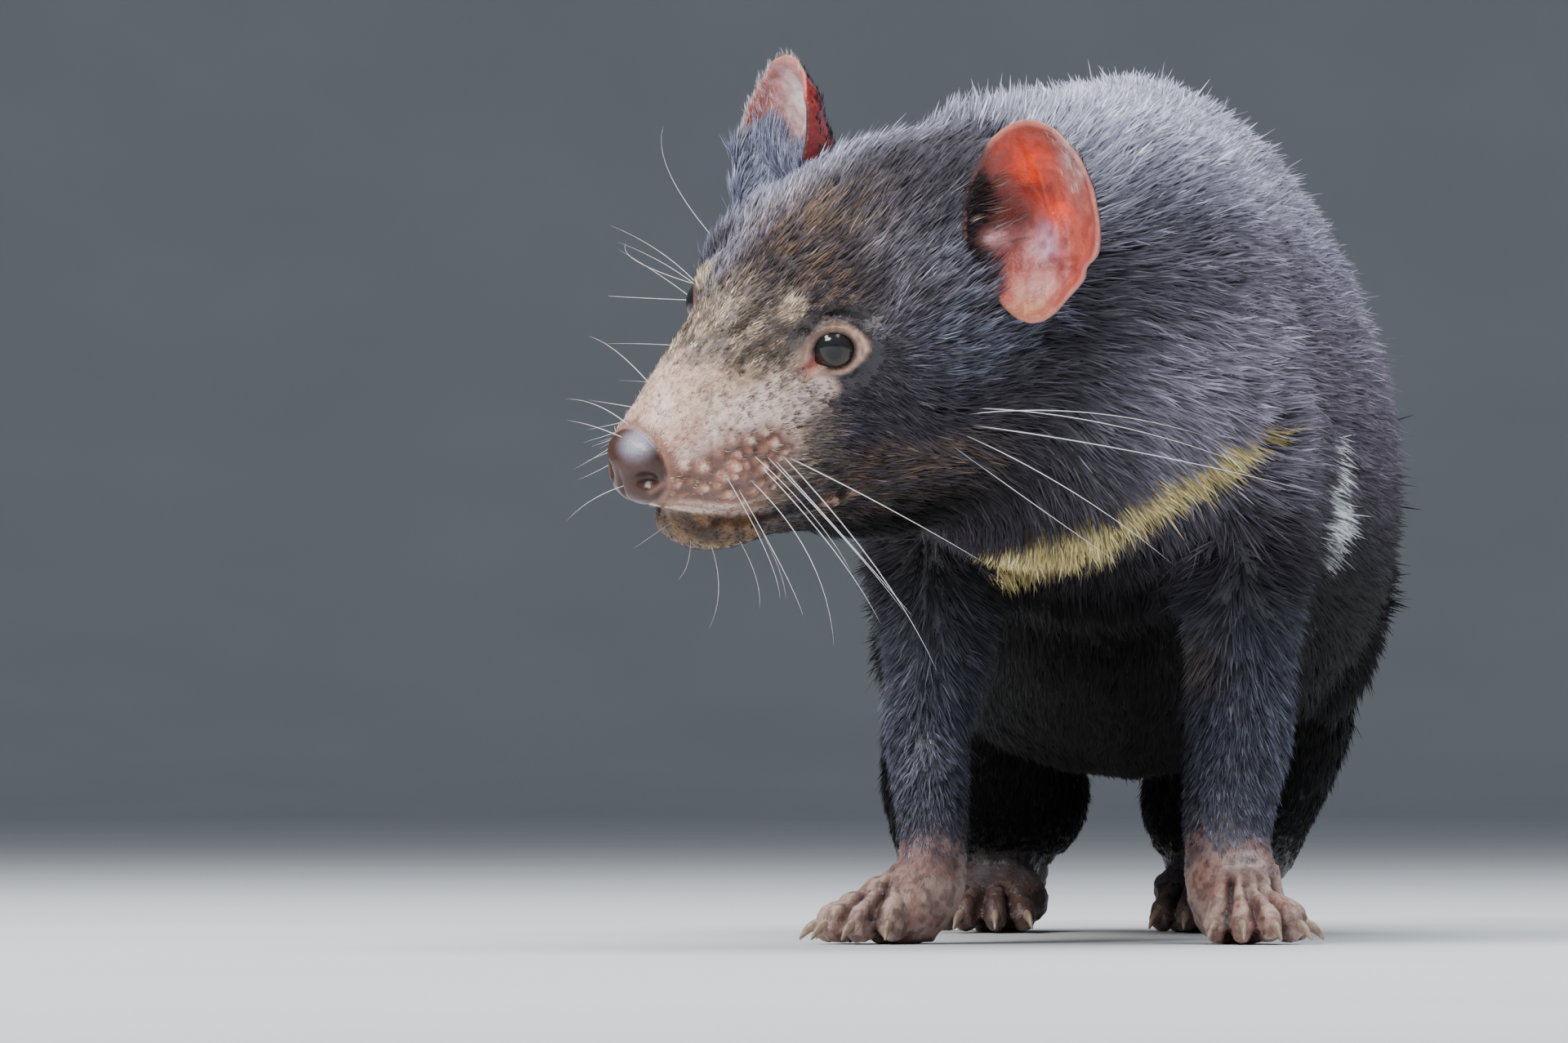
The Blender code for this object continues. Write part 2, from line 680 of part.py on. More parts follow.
def ear_object(side):
    """The ear's cup, with a rim and a thick root."""
    name = "left_ear" if side > 0 else "right_ear"
    long_way = mirrored(EAR_LONG_WAY, side)
    face = mirrored(EAR_FACE, side)
    face = (face - long_way * face.dot(long_way)).normalized()
    wide_way = long_way.cross(face)
    centre = mirrored(EAR_MIDDLES[side], side)
    rows, around = 6, 24
    front, back = [], []
    for row in range(rows + 1):
        share = row / rows
        for step in range(around):
            turn = 2 * math.pi * step / around
            u, v = math.sin(turn) * share, math.cos(turn) * share
            wide = EAR_HALF_WIDTH * (1 - EAR_TOP_NARROWING * u)
            flat = long_way * u * EAR_HALF_LENGTH + wide_way * v * wide
            sink = EAR_CUP * (1 - share * share) - EAR_CUP * 0.5
            thick = EAR_THICK * (1 + 1.2 * (1 - share))
            middle = centre + flat - face * sink
            front.append(middle + face * thick / 2)
            back.append(middle - face * thick / 2)
            if row == 0:
                break
    points = front + back
    half = len(front)
    faces = []
    for base, flip in ((0, False), (half, True)):
        for row in range(rows):
            for step in range(around):
                after = (step + 1) % around
                start = base + 1 + (row - 1) * around
                inner = [start + s for s in (step, after)] if row else [base, base]
                outer = [start + around + s for s in (step, after)]
                ring = [inner[0], outer[0], outer[1]] + ([inner[1]] if row else [])
                faces.append(ring[::-1] if flip else ring)
    rim = 1 + (rows - 1) * around
    for step in range(around):
        after = (step + 1) % around
        faces.append((rim + step, half + rim + step, half + rim + after, rim + after))
    return set_in_head(mesh_object(name, points, faces))


def eye_object(side):
    """One eyeball."""
    name = "left_eye" if side > 0 else "right_eye"
    centre = head_matrix() @ mirrored(EYE_PLACE, side)
    return ball(name, centre, (EYE_RADIUS,) * 3, rings=11)


def paint(thing, finish):
    """Gives the object its material and smooth shading."""
    colour, rough = FINISHES[finish]
    material = bpy.data.materials.get(finish) or bpy.data.materials.new(finish)
    material.use_nodes = True
    shader = material.node_tree.nodes["Principled BSDF"]
    shader.inputs["Base Color"].default_value = (*colour, 1)
    shader.inputs["Roughness"].default_value = rough
    shader.inputs["Metallic"].default_value = 0
    thing.data.materials.clear()
    thing.data.materials.append(material)
    thing.data.shade_smooth()
    thing.data.set_sharp_from_angle(angle=math.radians(50))


def leg_pieces(whole):
    """Takes the legs out of the whole and parts them at elbow or knee and at wrist or hock."""
    made = []
    for side, hand in ((1, "left"), (-1, "right")):
        for end, feet, middle, size, bend, tilt in (
            ("front", FRONT_FEET, (0.054, 0.004, 0.062), (0.046, 0.060, 0.088), (0, 0, 0.084), 0.10),
            ("hind", HIND_FEET, (0.066, 0.262, 0.062), (0.064, 0.082, 0.108), (0, 0.25, 0.080), 0.35),
        ):
            foot, turn = feet[hand]
            name = f"{end}_{hand}"
            cutter = ball("cut", mirrored(middle, side), size, rings=10)
            leg = taken(whole, name + "_upper_leg", cutter)
            low = parted(leg, name + "_lower_leg", bend, (0, tilt, -1))
            paw = foot_object(low, name, side, foot, turn, end == "hind")
            made += [(leg, "coat"), (low, "coat"), (paw, "foot")]
            claws = claw_objects(name, side, foot, turn, end == "hind")
            made += [(claw, "claw") for claw in claws]
    return made


def head_object(whole):
    """Parts the head from the whole and shapes its face on a finer mesh."""
    point = head_matrix() @ (Vector((0, -22, -25)) * MM)
    ahead = HEAD_CUT_WAY.normalized()
    head = copied("head", whole)
    sliced(head, point - ahead * 8 * MM, -ahead)
    largest(head)
    smoothed(head, 1.4 * HEAD_VOXEL, 2)
    in_own_axes(head, hollow_eyes)
    head = smoothed(domed(head), HEAD_VOXEL, 3)
    in_own_axes(head, shape_face)
    thinned(head, HEAD_FACES, face_share(head))
    sliced(head, point + ahead * GAP / 2, -ahead)
    sliced(whole, point - ahead * GAP / 2, ahead)
    return largest(head)


def body_forms():
    """All the forms that the flesh is fused from, but for the toes."""
    forms = head_forms() + trunk_forms()
    for side, hand in ((1, "left"), (-1, "right")):
        foot, turn = FRONT_FEET[hand]
        forms += foreleg_forms("front_" + hand, side, foot)
        forms.append(sole_form("front_" + hand, side, foot, turn, False))
        foot, turn = HIND_FEET[hand]
        forms += hindleg_forms("hind_" + hand, side, foot)
        forms.append(sole_form("hind_" + hand, side, foot, turn, True))
    return forms


def eye_and_ear_pieces(head, neck):
    """The eyes in their sockets and the ears, which end at the head's and the neck's surface."""
    made = []
    for side in (1, -1):
        centre = head_matrix() @ mirrored(EYE_PLACE, side)
        socket = ball("socket", centre, (EYE_RADIUS + GAP,) * 3, rings=14)
        boolean(head, socket, "DIFFERENCE")
        made.append((eye_object(side), "eye"))
    largest(head)
    for side in (1, -1):
        ear = ear_object(side)
        for body in (head, neck):
            grown = copied("grown", body)
            points, ways = points_of(grown)
            grown.data.vertices.foreach_set("co", (points + ways * GAP).ravel())
            boolean(ear, grown, "DIFFERENCE")
        made.append((largest(ear), "ear"))
    return made


def recentred(things):
    """Moves everything so that the middle of the box's bottom is the origin."""
    points = np.vstack([points_of(thing)[0] for thing in things])
    low, high = points.min(axis=0), points.max(axis=0)
    shift = Vector((-(low[0] + high[0]) / 2, -(low[1] + high[1]) / 2, -low[2]))
    for thing in things:
        thing.data.transform(Matrix.Translation(shift))


def main():
    """Builds the animal."""
    clear_scene()
    whole = fused("whole", body_forms(), VOXEL, 8)
    head = head_object(whole)
    thinned(whole, FLESH_FACES)
    pieces = leg_pieces(whole)
    tail = parted(whole, "tail", TAIL_CUT_AT, TAIL_CUT_WAY)
    neck = parted(whole, "neck", (0, -0.034, 0.19), (-0.25, -1, 0.15))
    torso = largest(whole)
    torso.name = "torso"
    pieces += eye_and_ear_pieces(head, neck)
    pieces += [(head, "face"), (neck, "coat"), (torso, "coat"), (tail, "coat")]
    for piece, finish in pieces:
        paint(piece, finish)
    recentred([piece for piece, finish in pieces])


main()
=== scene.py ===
"""The looks of a life-size Tasmanian devil: one skin, its coat, face, ears, eyes, claws and whiskers.

Metres, +Z up. The animal faces -Y, so its left side is at +X. Places on the head are in mm along its
own left, forward and up, from the point midway between the ears' roots.
"""

import math
from itertools import product

import bpy
import bmesh
import numpy as np
from mathutils import Matrix, Vector
from mathutils.bvhtree import BVHTree


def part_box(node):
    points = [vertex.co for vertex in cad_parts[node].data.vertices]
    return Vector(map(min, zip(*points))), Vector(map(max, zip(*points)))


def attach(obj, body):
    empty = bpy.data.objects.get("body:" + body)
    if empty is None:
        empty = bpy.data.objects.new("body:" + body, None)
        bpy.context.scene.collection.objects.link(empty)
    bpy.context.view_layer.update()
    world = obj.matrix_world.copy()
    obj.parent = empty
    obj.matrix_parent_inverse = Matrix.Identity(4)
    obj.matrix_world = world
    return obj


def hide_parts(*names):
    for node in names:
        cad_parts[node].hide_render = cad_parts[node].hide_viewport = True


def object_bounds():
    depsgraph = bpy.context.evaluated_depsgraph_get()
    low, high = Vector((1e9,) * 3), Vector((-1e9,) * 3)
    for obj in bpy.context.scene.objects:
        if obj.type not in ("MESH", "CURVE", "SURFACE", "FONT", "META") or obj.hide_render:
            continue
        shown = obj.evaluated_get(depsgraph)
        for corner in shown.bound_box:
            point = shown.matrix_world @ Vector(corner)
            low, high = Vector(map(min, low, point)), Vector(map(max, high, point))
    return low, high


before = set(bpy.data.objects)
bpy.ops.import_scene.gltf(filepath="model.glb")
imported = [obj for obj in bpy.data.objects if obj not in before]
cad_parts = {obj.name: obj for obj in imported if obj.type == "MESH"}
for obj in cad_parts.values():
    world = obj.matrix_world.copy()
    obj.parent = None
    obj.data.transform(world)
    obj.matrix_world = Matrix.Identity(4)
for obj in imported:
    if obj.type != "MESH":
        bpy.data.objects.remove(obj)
cad_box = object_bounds()

MM = 0.001

# The head, as the frame has it
HEAD_AT = np.array((-0.0512, -0.1040, 0.2220))
HEAD_TURN = math.radians(49)
HEAD_BOW = math.radians(24)
HEAD_TILT = math.radians(17)
HEAD_CUT_AT = np.array((0, -22, -25))
HEAD_CUT_WAY = np.array((-0.75, -0.65, 0.10)) / np.linalg.norm((-0.75, -0.65, 0.10))

EYE_RADIUS = 7.9
EYE_PLACE = np.array((26.8, 54.2, -17.4))
EYE_LOOK = np.array((0.72, 0.66, 0.22)) / np.linalg.norm((0.72, 0.66, 0.22))
LID_THICK = 1.6
EYE_OPEN_HALF_WIDTH = math.radians(48)
EYE_OPEN_HALF_HEIGHT = math.radians(41)
TEAR_TURN = -30

EAR_MIDDLES = {1: np.array((56.5, -6.3, 6.2)), -1: np.array((51.5, -4.5, 1.6))}
EAR_LONG_WAY = np.array((-0.187, -0.320, 0.929))
EAR_FACE = np.array((0.301, 0.881, 0.364))
EAR_HALF_LENGTH = 30.0
EAR_HALF_WIDTH = 22.8
EAR_TOP_NARROWING = 0.12
EAR_CUP = 13.0
EAR_THICK = 1.9

MOUTH = ((0, 114, -51), (8, 111, -53), (12.5, 102, -56.5), (17, 91, -60.5), (21, 78, -63))
MOUTH += ((25, 66, -64), (31, 54, -62))
NOSTRIL = (8.6, 118.0, -39.5)
NOSE = (0, 116, -38)
NOSTRIL_RIM = ((9.3, 117, -43.2), (12, 114.5, -41.2), (14.2, 110.5, -38.8))

# Feet: their places and how far they turn out, and each toe's spread and reach in mm
FEET = (
    (1, (0.0460, -0.004), 24, False),
    (-1, (-0.0560, -0.010), 50, False),
    (1, (0.0250, 0.262), 6, True),
    (-1, (-0.0400, 0.258), 10, True),
)
FRONT_TOES = ((-42, 20), (-18, 26), (2, 28), (24, 26.5), (54, 22))
HIND_TOES = ((-32, 28), (-11, 31), (11, 31), (32, 28))

# Skin
SKIN_VOXEL = 1.15 * MM
SWELL = 0.90 * MM
BODY_SHARE = 0.12

# Markings, in the animal's own metres and in the head's mm
BLAZE_ACROSS = (-0.036, -0.030, -0.018, -0.0075, 0.007, 0.020, 0.036, 0.050, 0.055)
BLAZE_HEIGHTS = (0.116, 0.1175, 0.120, 0.1225, 0.127, 0.1365, 0.147, 0.155, 0.157)
BLAZE_HALVES = (0.0005, 0.0030, 0.0036, 0.0040, 0.0044, 0.0044, 0.0040, 0.0025, 0.0004)
PATCH = ((0.0772, 0.0735, 0.151), (0.0759, 0.0749, 0.1405), (0.0768, 0.0913, 0.128))
PATCH_HALF_WIDTH = 0.0080

COAT_DARK = (0.006, 0.005, 0.005)
COAT_FLANK = (0.138, 0.118, 0.152)
COAT_SHEEN = (0.370, 0.370, 0.475)
COAT_HEAD = (0.050, 0.044, 0.056)
COAT_BROWN = (0.150, 0.100, 0.070)
COAT_FACE = (0.620, 0.470, 0.340)
LEG_SHEEN = (0.098, 0.102, 0.136)
BLAZE_COLOUR = (0.500, 0.400, 0.175)
PATCH_COLOUR = (0.900, 0.920, 0.960)
SKIN_PINK = (0.680, 0.400, 0.330)
SKIN_PALE = (0.920, 0.720, 0.650)
SKIN_RED = (0.220, 0.075, 0.045)
SKIN_LIP = (0.230, 0.115, 0.040)
SKIN_RIM = (0.420, 0.270, 0.110)
SKIN_DARK = (0.030, 0.016, 0.013)
LID_TAN = (0.170, 0.095, 0.068)
PAW_COLOUR = (0.290, 0.180, 0.160)
PAW_PALE = (0.580, 0.410, 0.350)

# bare spots on the head: the skin before and under the eye, and the fold at the mouth's corner
BARE_SPOTS = (((27, 66, -20), 5.5), ((28, 64, -27), 6.0), ((24, 73, -24), 6.5), ((29, 56, -64), 3.6))
BARE_SPOTS += (((26, 63, -65), 3.2),)
CREASE = ((19, 74.5, -16.5), (23, 66.5, -12), (23.8, 61.7, -10), (26.9, 56.4, -6.9), (28.8, 50.1, -7.7))
CREASE += ((33, 46.2, -10.1),)
WRINKLE = ((23.4, 65.5, -15), (19.8, 73.5, -17.5), (18.6, 81, -22.5), (17.8, 92, -29))
FOLD = ((23.5, 64, -66), (27.4, 54, -65.5), (31, 48.5, -62.5))
CHIN_RIM = ((0, 109, -66), (8, 106, -67.5), (13, 98, -70.5), (17, 88, -73.5), (21, 76, -75))

# Coat
COAT_STRANDS = 440000
STRANDS = 5
PIECE_STRANDS = 65000
NORMAL_SHARE = 0.62

# The photograph: its size, its lens in pixels, and the camera's place
PHOTO_WIDE, PHOTO_HIGH = 1920, 1277
FOCAL = 14000
CAMERA_TURN = math.radians(4)
CAMERA_AWAY = 3.5
CAMERA_ASIDE = 0.0925
CAMERA_HEIGHT = 0.05
CAMERA_PITCH = (955 - PHOTO_HIGH / 2) / FOCAL

chance = np.random.default_rng(11)
LATTICE = np.random.default_rng(7).random((32, 32, 32))


def unit(ways):
    """The same ways with a length of one."""
    ways = np.asarray(ways, float)
    return ways / np.maximum(np.linalg.norm(ways, axis=-1, keepdims=True), 1e-12)


def eased(values):
    """0 to 1 with soft ends."""
    share = np.clip(values, 0, 1)
    return share * share * (3 - 2 * share)


def mixed(first, second, share):
    """Colours between two, by a share for each point."""
    share = np.asarray(share)[..., None]
    return np.asarray(first) * (1 - share) + np.asarray(second) * share


def mottle(points, size):
    """Smooth noise from 0 to 1 with blotches of that size."""
    scaled = points / size
    base = np.floor(scaled).astype(int)
    share = scaled - base
    share = share * share * (3 - 2 * share)
    total = np.zeros(len(points))
    for corner in product((0, 1), repeat=3):
        weight = np.prod(np.where(corner, share, 1 - share), axis=1)
        place = (base + corner) % 32
        total += weight * LATTICE[place[:, 0], place[:, 1], place[:, 2]]
    return total


def distance_to_path(points, path):
    """How far each point lies from a path of points."""
    path = [np.array(p, float) for p in path]
    least = np.full(len(points), np.inf)
    for a, b in zip(path, path[1:]):
        span = b - a
        share = np.clip((points - a) @ span / (span @ span), 0, 1)
        least = np.minimum(least, np.linalg.norm(points - a - share[:, None] * span, axis=1))
    return least


def mirrored(place, side):
    """A place of the left side, or the same on the right where side is -1."""
    return np.array(place, float) * (side, 1, 1)


def head_axes():
    """The head's own left, forward and up."""
    forward = np.array((-math.sin(HEAD_TURN), -math.cos(HEAD_TURN), 0))
    left = np.array((math.cos(HEAD_TURN), -math.sin(HEAD_TURN), 0))
    over = np.array((0, 0, 1.0))
    bowed = math.cos(HEAD_BOW) * forward - math.sin(HEAD_BOW) * over
    up = math.cos(HEAD_BOW) * over + math.sin(HEAD_BOW) * forward
    leaning = math.cos(HEAD_TILT) * left - math.sin(HEAD_TILT) * up
    up = math.cos(HEAD_TILT) * up + math.sin(HEAD_TILT) * left
    return np.array((leaning, bowed, up))


AXES = head_axes()
eye_low, eye_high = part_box("left_eye")
HEAD_ORIGIN = np.array((eye_low + eye_high) / 2) - EYE_PLACE * MM @ AXES
SHIFT = HEAD_ORIGIN - HEAD_AT


def to_head(points):
    """Points as mm along the head's left, forward and up."""
    return (points - HEAD_ORIGIN) @ AXES.T / MM


def from_head(places):
    """Places in the head's mm as points."""
    return HEAD_ORIGIN + np.asarray(places, float) * MM @ AXES


def head_share(points):
    """0 on the neck and 1 on the head."""
    away = (points - from_head(HEAD_CUT_AT)) @ HEAD_CUT_WAY
    return eased(away / 0.030 + 0.4)


def eye_axes(side):
    """The eye's own axes: across to the nose, up, and out."""
    out = mirrored(EYE_LOOK, side)
    up = unit(np.array((0, 0, 1.0)) - out * out[2])
    fore = np.cross(up, out) * side
    return fore, up, out


def lid_offset(places, side):
    """How far from the eye's middle a place is, as 1 at the lids' edge, its reach in mm and its turn."""
    fore, up, out = eye_axes(side)
    away = places - mirrored(EYE_PLACE, side)
    reach = np.linalg.norm(away, axis=1)
    local = away / np.maximum(reach, 1e-9)[:, None]
    off = np.arccos(np.clip(local @ out, -1, 1))
    turn = np.degrees(np.arctan2(local @ up, local @ fore))
    round_way = np.radians(turn)
    edge = 1 / np.hypot(np.cos(round_way) / EYE_OPEN_HALF_WIDTH, np.sin(round_way) / EYE_OPEN_HALF_HEIGHT)
    # the inner corner is drawn out and down into a point
    edge = edge * (1 + 0.34 * np.exp(-(((turn - TEAR_TURN) / 13) ** 2)))
    return off / edge, reach, turn


def lid_limit(turn):
    """Where the bare lids end: broad behind and above, narrow below."""
    behind = np.exp(-(((np.abs(turn) - 180) / 50) ** 2))
    return 1.22 + 0.15 * behind + 0.08 * np.sin(np.radians(turn))


def bare_by_eye(places):
    """1 on the bare lids."""
    share = np.zeros(len(places))
    for side in (1, -1):
        offset, reach, turn = lid_offset(places, side)
        limit = lid_limit(turn)
        share = np.maximum(share, (reach < 12) * (1 - eased((offset - limit) / 0.16)))
    return share


def near_eye(places):
    """The least distance in mm of a place to either eye's middle."""
    return np.min([np.linalg.norm(places - mirrored(EYE_PLACE, side), axis=1) for side in (1, -1)], axis=0)


# Markings and the coat's measures, each a function of the place

def nose_share(places):
    """1 on the nose pad."""
    off = np.linalg.norm((places - NOSE) / (13.6, 9.5, 12.5), axis=1)
    return 1 - eased((off - 0.92) / 0.16)


def bare_share(points):
    """1 where bare skin shows, 0 where the coat is full."""
    places = to_head(points)
    edge = np.interp(places[:, 2], (-80, -64, -57, -45, -37, -27, -14, -3), (84, 86, 81, 75, 70, 65, 90, 106))
    edge = edge + 12 * (mottle(points, 0.005) - 0.5)
    face = eased((places[:, 1] - edge) / 20 + 0.5)
    face = np.maximum(face, bare_by_eye(places))
    face = np.maximum(face, 0.9 * spots(places, BARE_SPOTS))
    own = points - SHIFT
    low = own[:, 2] + 0.009 * (mottle(points, 0.005) - 0.5) + 0.012 * eased((own[:, 1] - 0.12) / 0.05)
    paw = 1 - eased((low - 0.021) / 0.024)
    return np.where(head_share(points) > 0.01, face, paw)


def spots(places, listed):
    """1 in the middle of any of the listed spots of both sides, falling off to 0."""
    share = np.zeros(len(places))
    for where, size in listed:
        for side in (1, -1):
            off = np.linalg.norm((places - mirrored(where, side)) / size, axis=1)
            share = np.maximum(share, 1 - eased((off - 0.6) / 0.8))
    return share


def coat_depth(points):
    """How far the skin lies inside the tips of the coat."""
    own = points - SHIFT
    depth = np.interp(own[:, 2], (0.020, 0.034, 0.050, 0.075, 0.110, 0.150), (0.1, 0.7, 1.8, 3.0, 4.6, 5.6))
    depth = np.minimum(depth, np.interp(own[:, 1], (0.330, 0.360, 0.560), (5.6, 3.6, 0.8)))
    places = to_head(points)
    head = np.interp(places[:, 1], (-25, 20, 60, 80), (4.2, 3.0, 1.0, 0.25))
    head = head * eased((near_eye(places) - 11.5) / 7) + 0.15
    share = head_share(points)
    return (depth * (1 - share) + head * share) * MM


def coat_length(points):
    """The length of the hair in metres."""
    own = points - SHIFT
    length = np.interp(own[:, 2], (0.020, 0.034, 0.050, 0.075, 0.110, 0.150), (1.5, 3.0, 5.5, 8.0, 12.0, 14.0))
    length = np.minimum(length, np.interp(own[:, 1], (0.330, 0.400, 0.560), (14.0, 12.0, 7.0)))
    places = to_head(points)
    head = np.interp(places[:, 1], (-30, 0, 30, 55, 75, 95), (11.5, 9.5, 7.5, 5.5, 3.2, 2.0))
    head = head * (0.45 + 0.55 * eased((near_eye(places) - 12) / 9))
    share = head_share(points)
    return (length * (1 - share) + head * share) * MM


def lie_ways(points, normals):
    """The way the hair lies: from the nose to the tail, and down the legs."""
    own = points - SHIFT
    count = len(points)
    leg = 1 - eased((own[:, 2] - 0.060) / 0.055)
    ways = mixed((0, 1, -0.16), (0, 0.22, -1), leg)
    tail = eased((own[:, 1] - 0.335) / 0.04)
    ways = ways * (1 - tail[:, None]) + np.array((0.12, 1, -0.45)) * tail[:, None]
    places = to_head(points)
    back = np.tile((0.0, -1.0, -0.05), (count, 1))
    for side in (1, -1):
        away = places - mirrored(EYE_PLACE, side)
        reach = np.linalg.norm(away, axis=1)
        back += unit(away) * (0.75 * np.exp(-((reach / 17) ** 2)))[:, None]
    head = unit(back) @ AXES
    share = head_share(points)[:, None]
    ways = unit(ways) * (1 - share) + head * share
    swirl = np.stack([mottle(points + k, 0.020) - 0.5 for k in (0.0, 0.31, 0.67)], axis=1)
    ways = ways + 0.55 * swirl
    ways = ways - normals * np.sum(ways * normals, axis=1)[:, None]
    return unit(ways)


def coat_colour(points, normals):
    """The colour of the coat at each point, with its markings and a pale painted sheen where it faces up."""
    own = points - SHIFT
    places = to_head(points)
    share = head_share(points)
    blotch = mottle(points, 0.013) * 0.55 + mottle(points, 0.005) * 0.45
    under = 1 - eased((own[:, 2] - 0.105) / 0.080)
    chest = 1 - eased((own[:, 1] + 0.070) / 0.075)
    colour = np.tile(COAT_FLANK, (len(points), 1))
    colour = mixed_rows(colour, COAT_DARK, np.maximum(under, 0.8 * chest))
    # a pale mauve patch on the shoulder and neck: painted light
    lit_shoulder = np.linalg.norm((own - (0.036, -0.05, 0.172))[:, ::2] / (0.030, 0.032), axis=1)
    colour = mixed_rows(colour, (0.36, 0.33, 0.42), 0.7 * np.exp(-(lit_shoulder**2)) * (own[:, 1] < 0.02))
    behind_ear = spots(places, (((40, -34, -30), 26),))
    colour = mixed_rows(colour, COAT_DARK, 0.15 * behind_ear)
    # the forelegs' fronts drawn to a bluish grey, fading up the leg: painted sheen
    fore = (1 - eased((own[:, 2] - 0.068) / 0.060)) * (1 - eased((own[:, 1] - 0.015) / 0.03))
    legs = [np.abs(own[:, 0] - (0.050 if side > 0 else -0.056)) for side in (1, -1)]
    fore = fore * (1 - eased((np.minimum(*legs) - 0.008) / 0.024))
    colour = mixed_rows(colour, LEG_SHEEN, fore * 0.9)
    head = np.tile(COAT_HEAD, (len(points), 1))
    streak = eased((mottle(places * (0.008, 0.0014, 0.008), 0.013) - 0.45) * 4)
    brow = np.exp(-(((places[:, 1] - 44) / 20) ** 2)) * eased((places[:, 2] + 16) / 16)
    cheek = eased((-places[:, 2] - 42) / 14) * eased((places[:, 1] - 8) / 20)
    head = mixed_rows(head, COAT_BROWN, np.maximum(brow, 0.7 * cheek) * (0.25 + 0.75 * streak))
    strands = eased((places[:, 2] + 40) / 14) * eased((12 - places[:, 2]) / 14) * eased((50 - places[:, 1]) / 20)
    head = mixed_rows(head, (0.17, 0.18, 0.24), 0.80 * strands * (0.3 + 0.7 * streak))
    head = mixed_rows(head, COAT_DARK, eased((-places[:, 2] - 62) / 16))
    front = eased((places[:, 1] - 58) / 22) * eased((places[:, 2] + 62) / 10)
    head = mixed_rows(head, COAT_FACE, front * (0.35 + 0.65 * streak))
    dark = eased((mottle(places * (0.004, 0.0010, 0.004) + 0.4, 0.008) - 0.52) * 5)
    head = mixed_rows(head, (0.055, 0.036, 0.026), 0.75 * front * dark * eased((102 - places[:, 1]) / 16))
    head = mixed_rows(head, (0.60, 0.47, 0.34), 0.85 * spots(places, (((20, 65, -3), 4.5),)))
    colour = colour * (1 - share[:, None]) + head * share[:, None]
    # painted sheen: the coat is drawn to a pale bluish grey where it faces up, less on the brow, the face and the rump
    light_facing = normals @ np.array((-0.55, 0.13, 0.82))
    painted_sheen = np.where(share > 0.5, eased((light_facing - 0.66) / 0.28), eased((normals[:, 2] - 0.10) / 0.80))
    painted_sheen = painted_sheen * (1 - front) * (1 - 0.5 * brow * share) * (1 - 0.5 * eased((own[:, 1] - 0.10) / 0.22))
    colour = mixed_rows(colour, COAT_SHEEN, (0.80 - 0.20 * share) * painted_sheen)
    ragged = 0.006 * (mottle(points, 0.007) - 0.5)
    line = np.interp(own[:, 0], BLAZE_ACROSS, BLAZE_HEIGHTS)
    half = np.interp(own[:, 0], BLAZE_ACROSS, BLAZE_HALVES)
    blaze = (1 - eased(np.abs(own[:, 2] - line) / half + 130 * ragged - 0.5)) * (own[:, 1] < 0.03)
    blaze = blaze * eased((own[:, 0] + 0.036) / 0.005)
    elbow = np.linalg.norm((own - (0.035, 0.0, 0.088)) / (0.009, 0.02, 0.009), axis=1)
    colour = mixed_rows(colour, (0.13, 0.085, 0.060), 0.45 * (1 - eased((elbow - 0.3) / 1.2)))
    colour = mixed_rows(colour, BLAZE_COLOUR, blaze * (1 - share))
    patch = 1 - eased((distance_to_path(own, PATCH) + 1.3 * ragged) / PATCH_HALF_WIDTH - 0.5)
    colour = mixed_rows(colour, PATCH_COLOUR, patch * 0.95)
    return colour * (0.66 + 0.68 * blotch)[:, None]


def mixed_rows(rows, colour, share):
    """Rows of colours drawn towards one colour."""
    share = np.broadcast_to(np.clip(share, 0, 1), (len(rows),))[:, None]
    return rows * (1 - share) + np.asarray(colour) * share


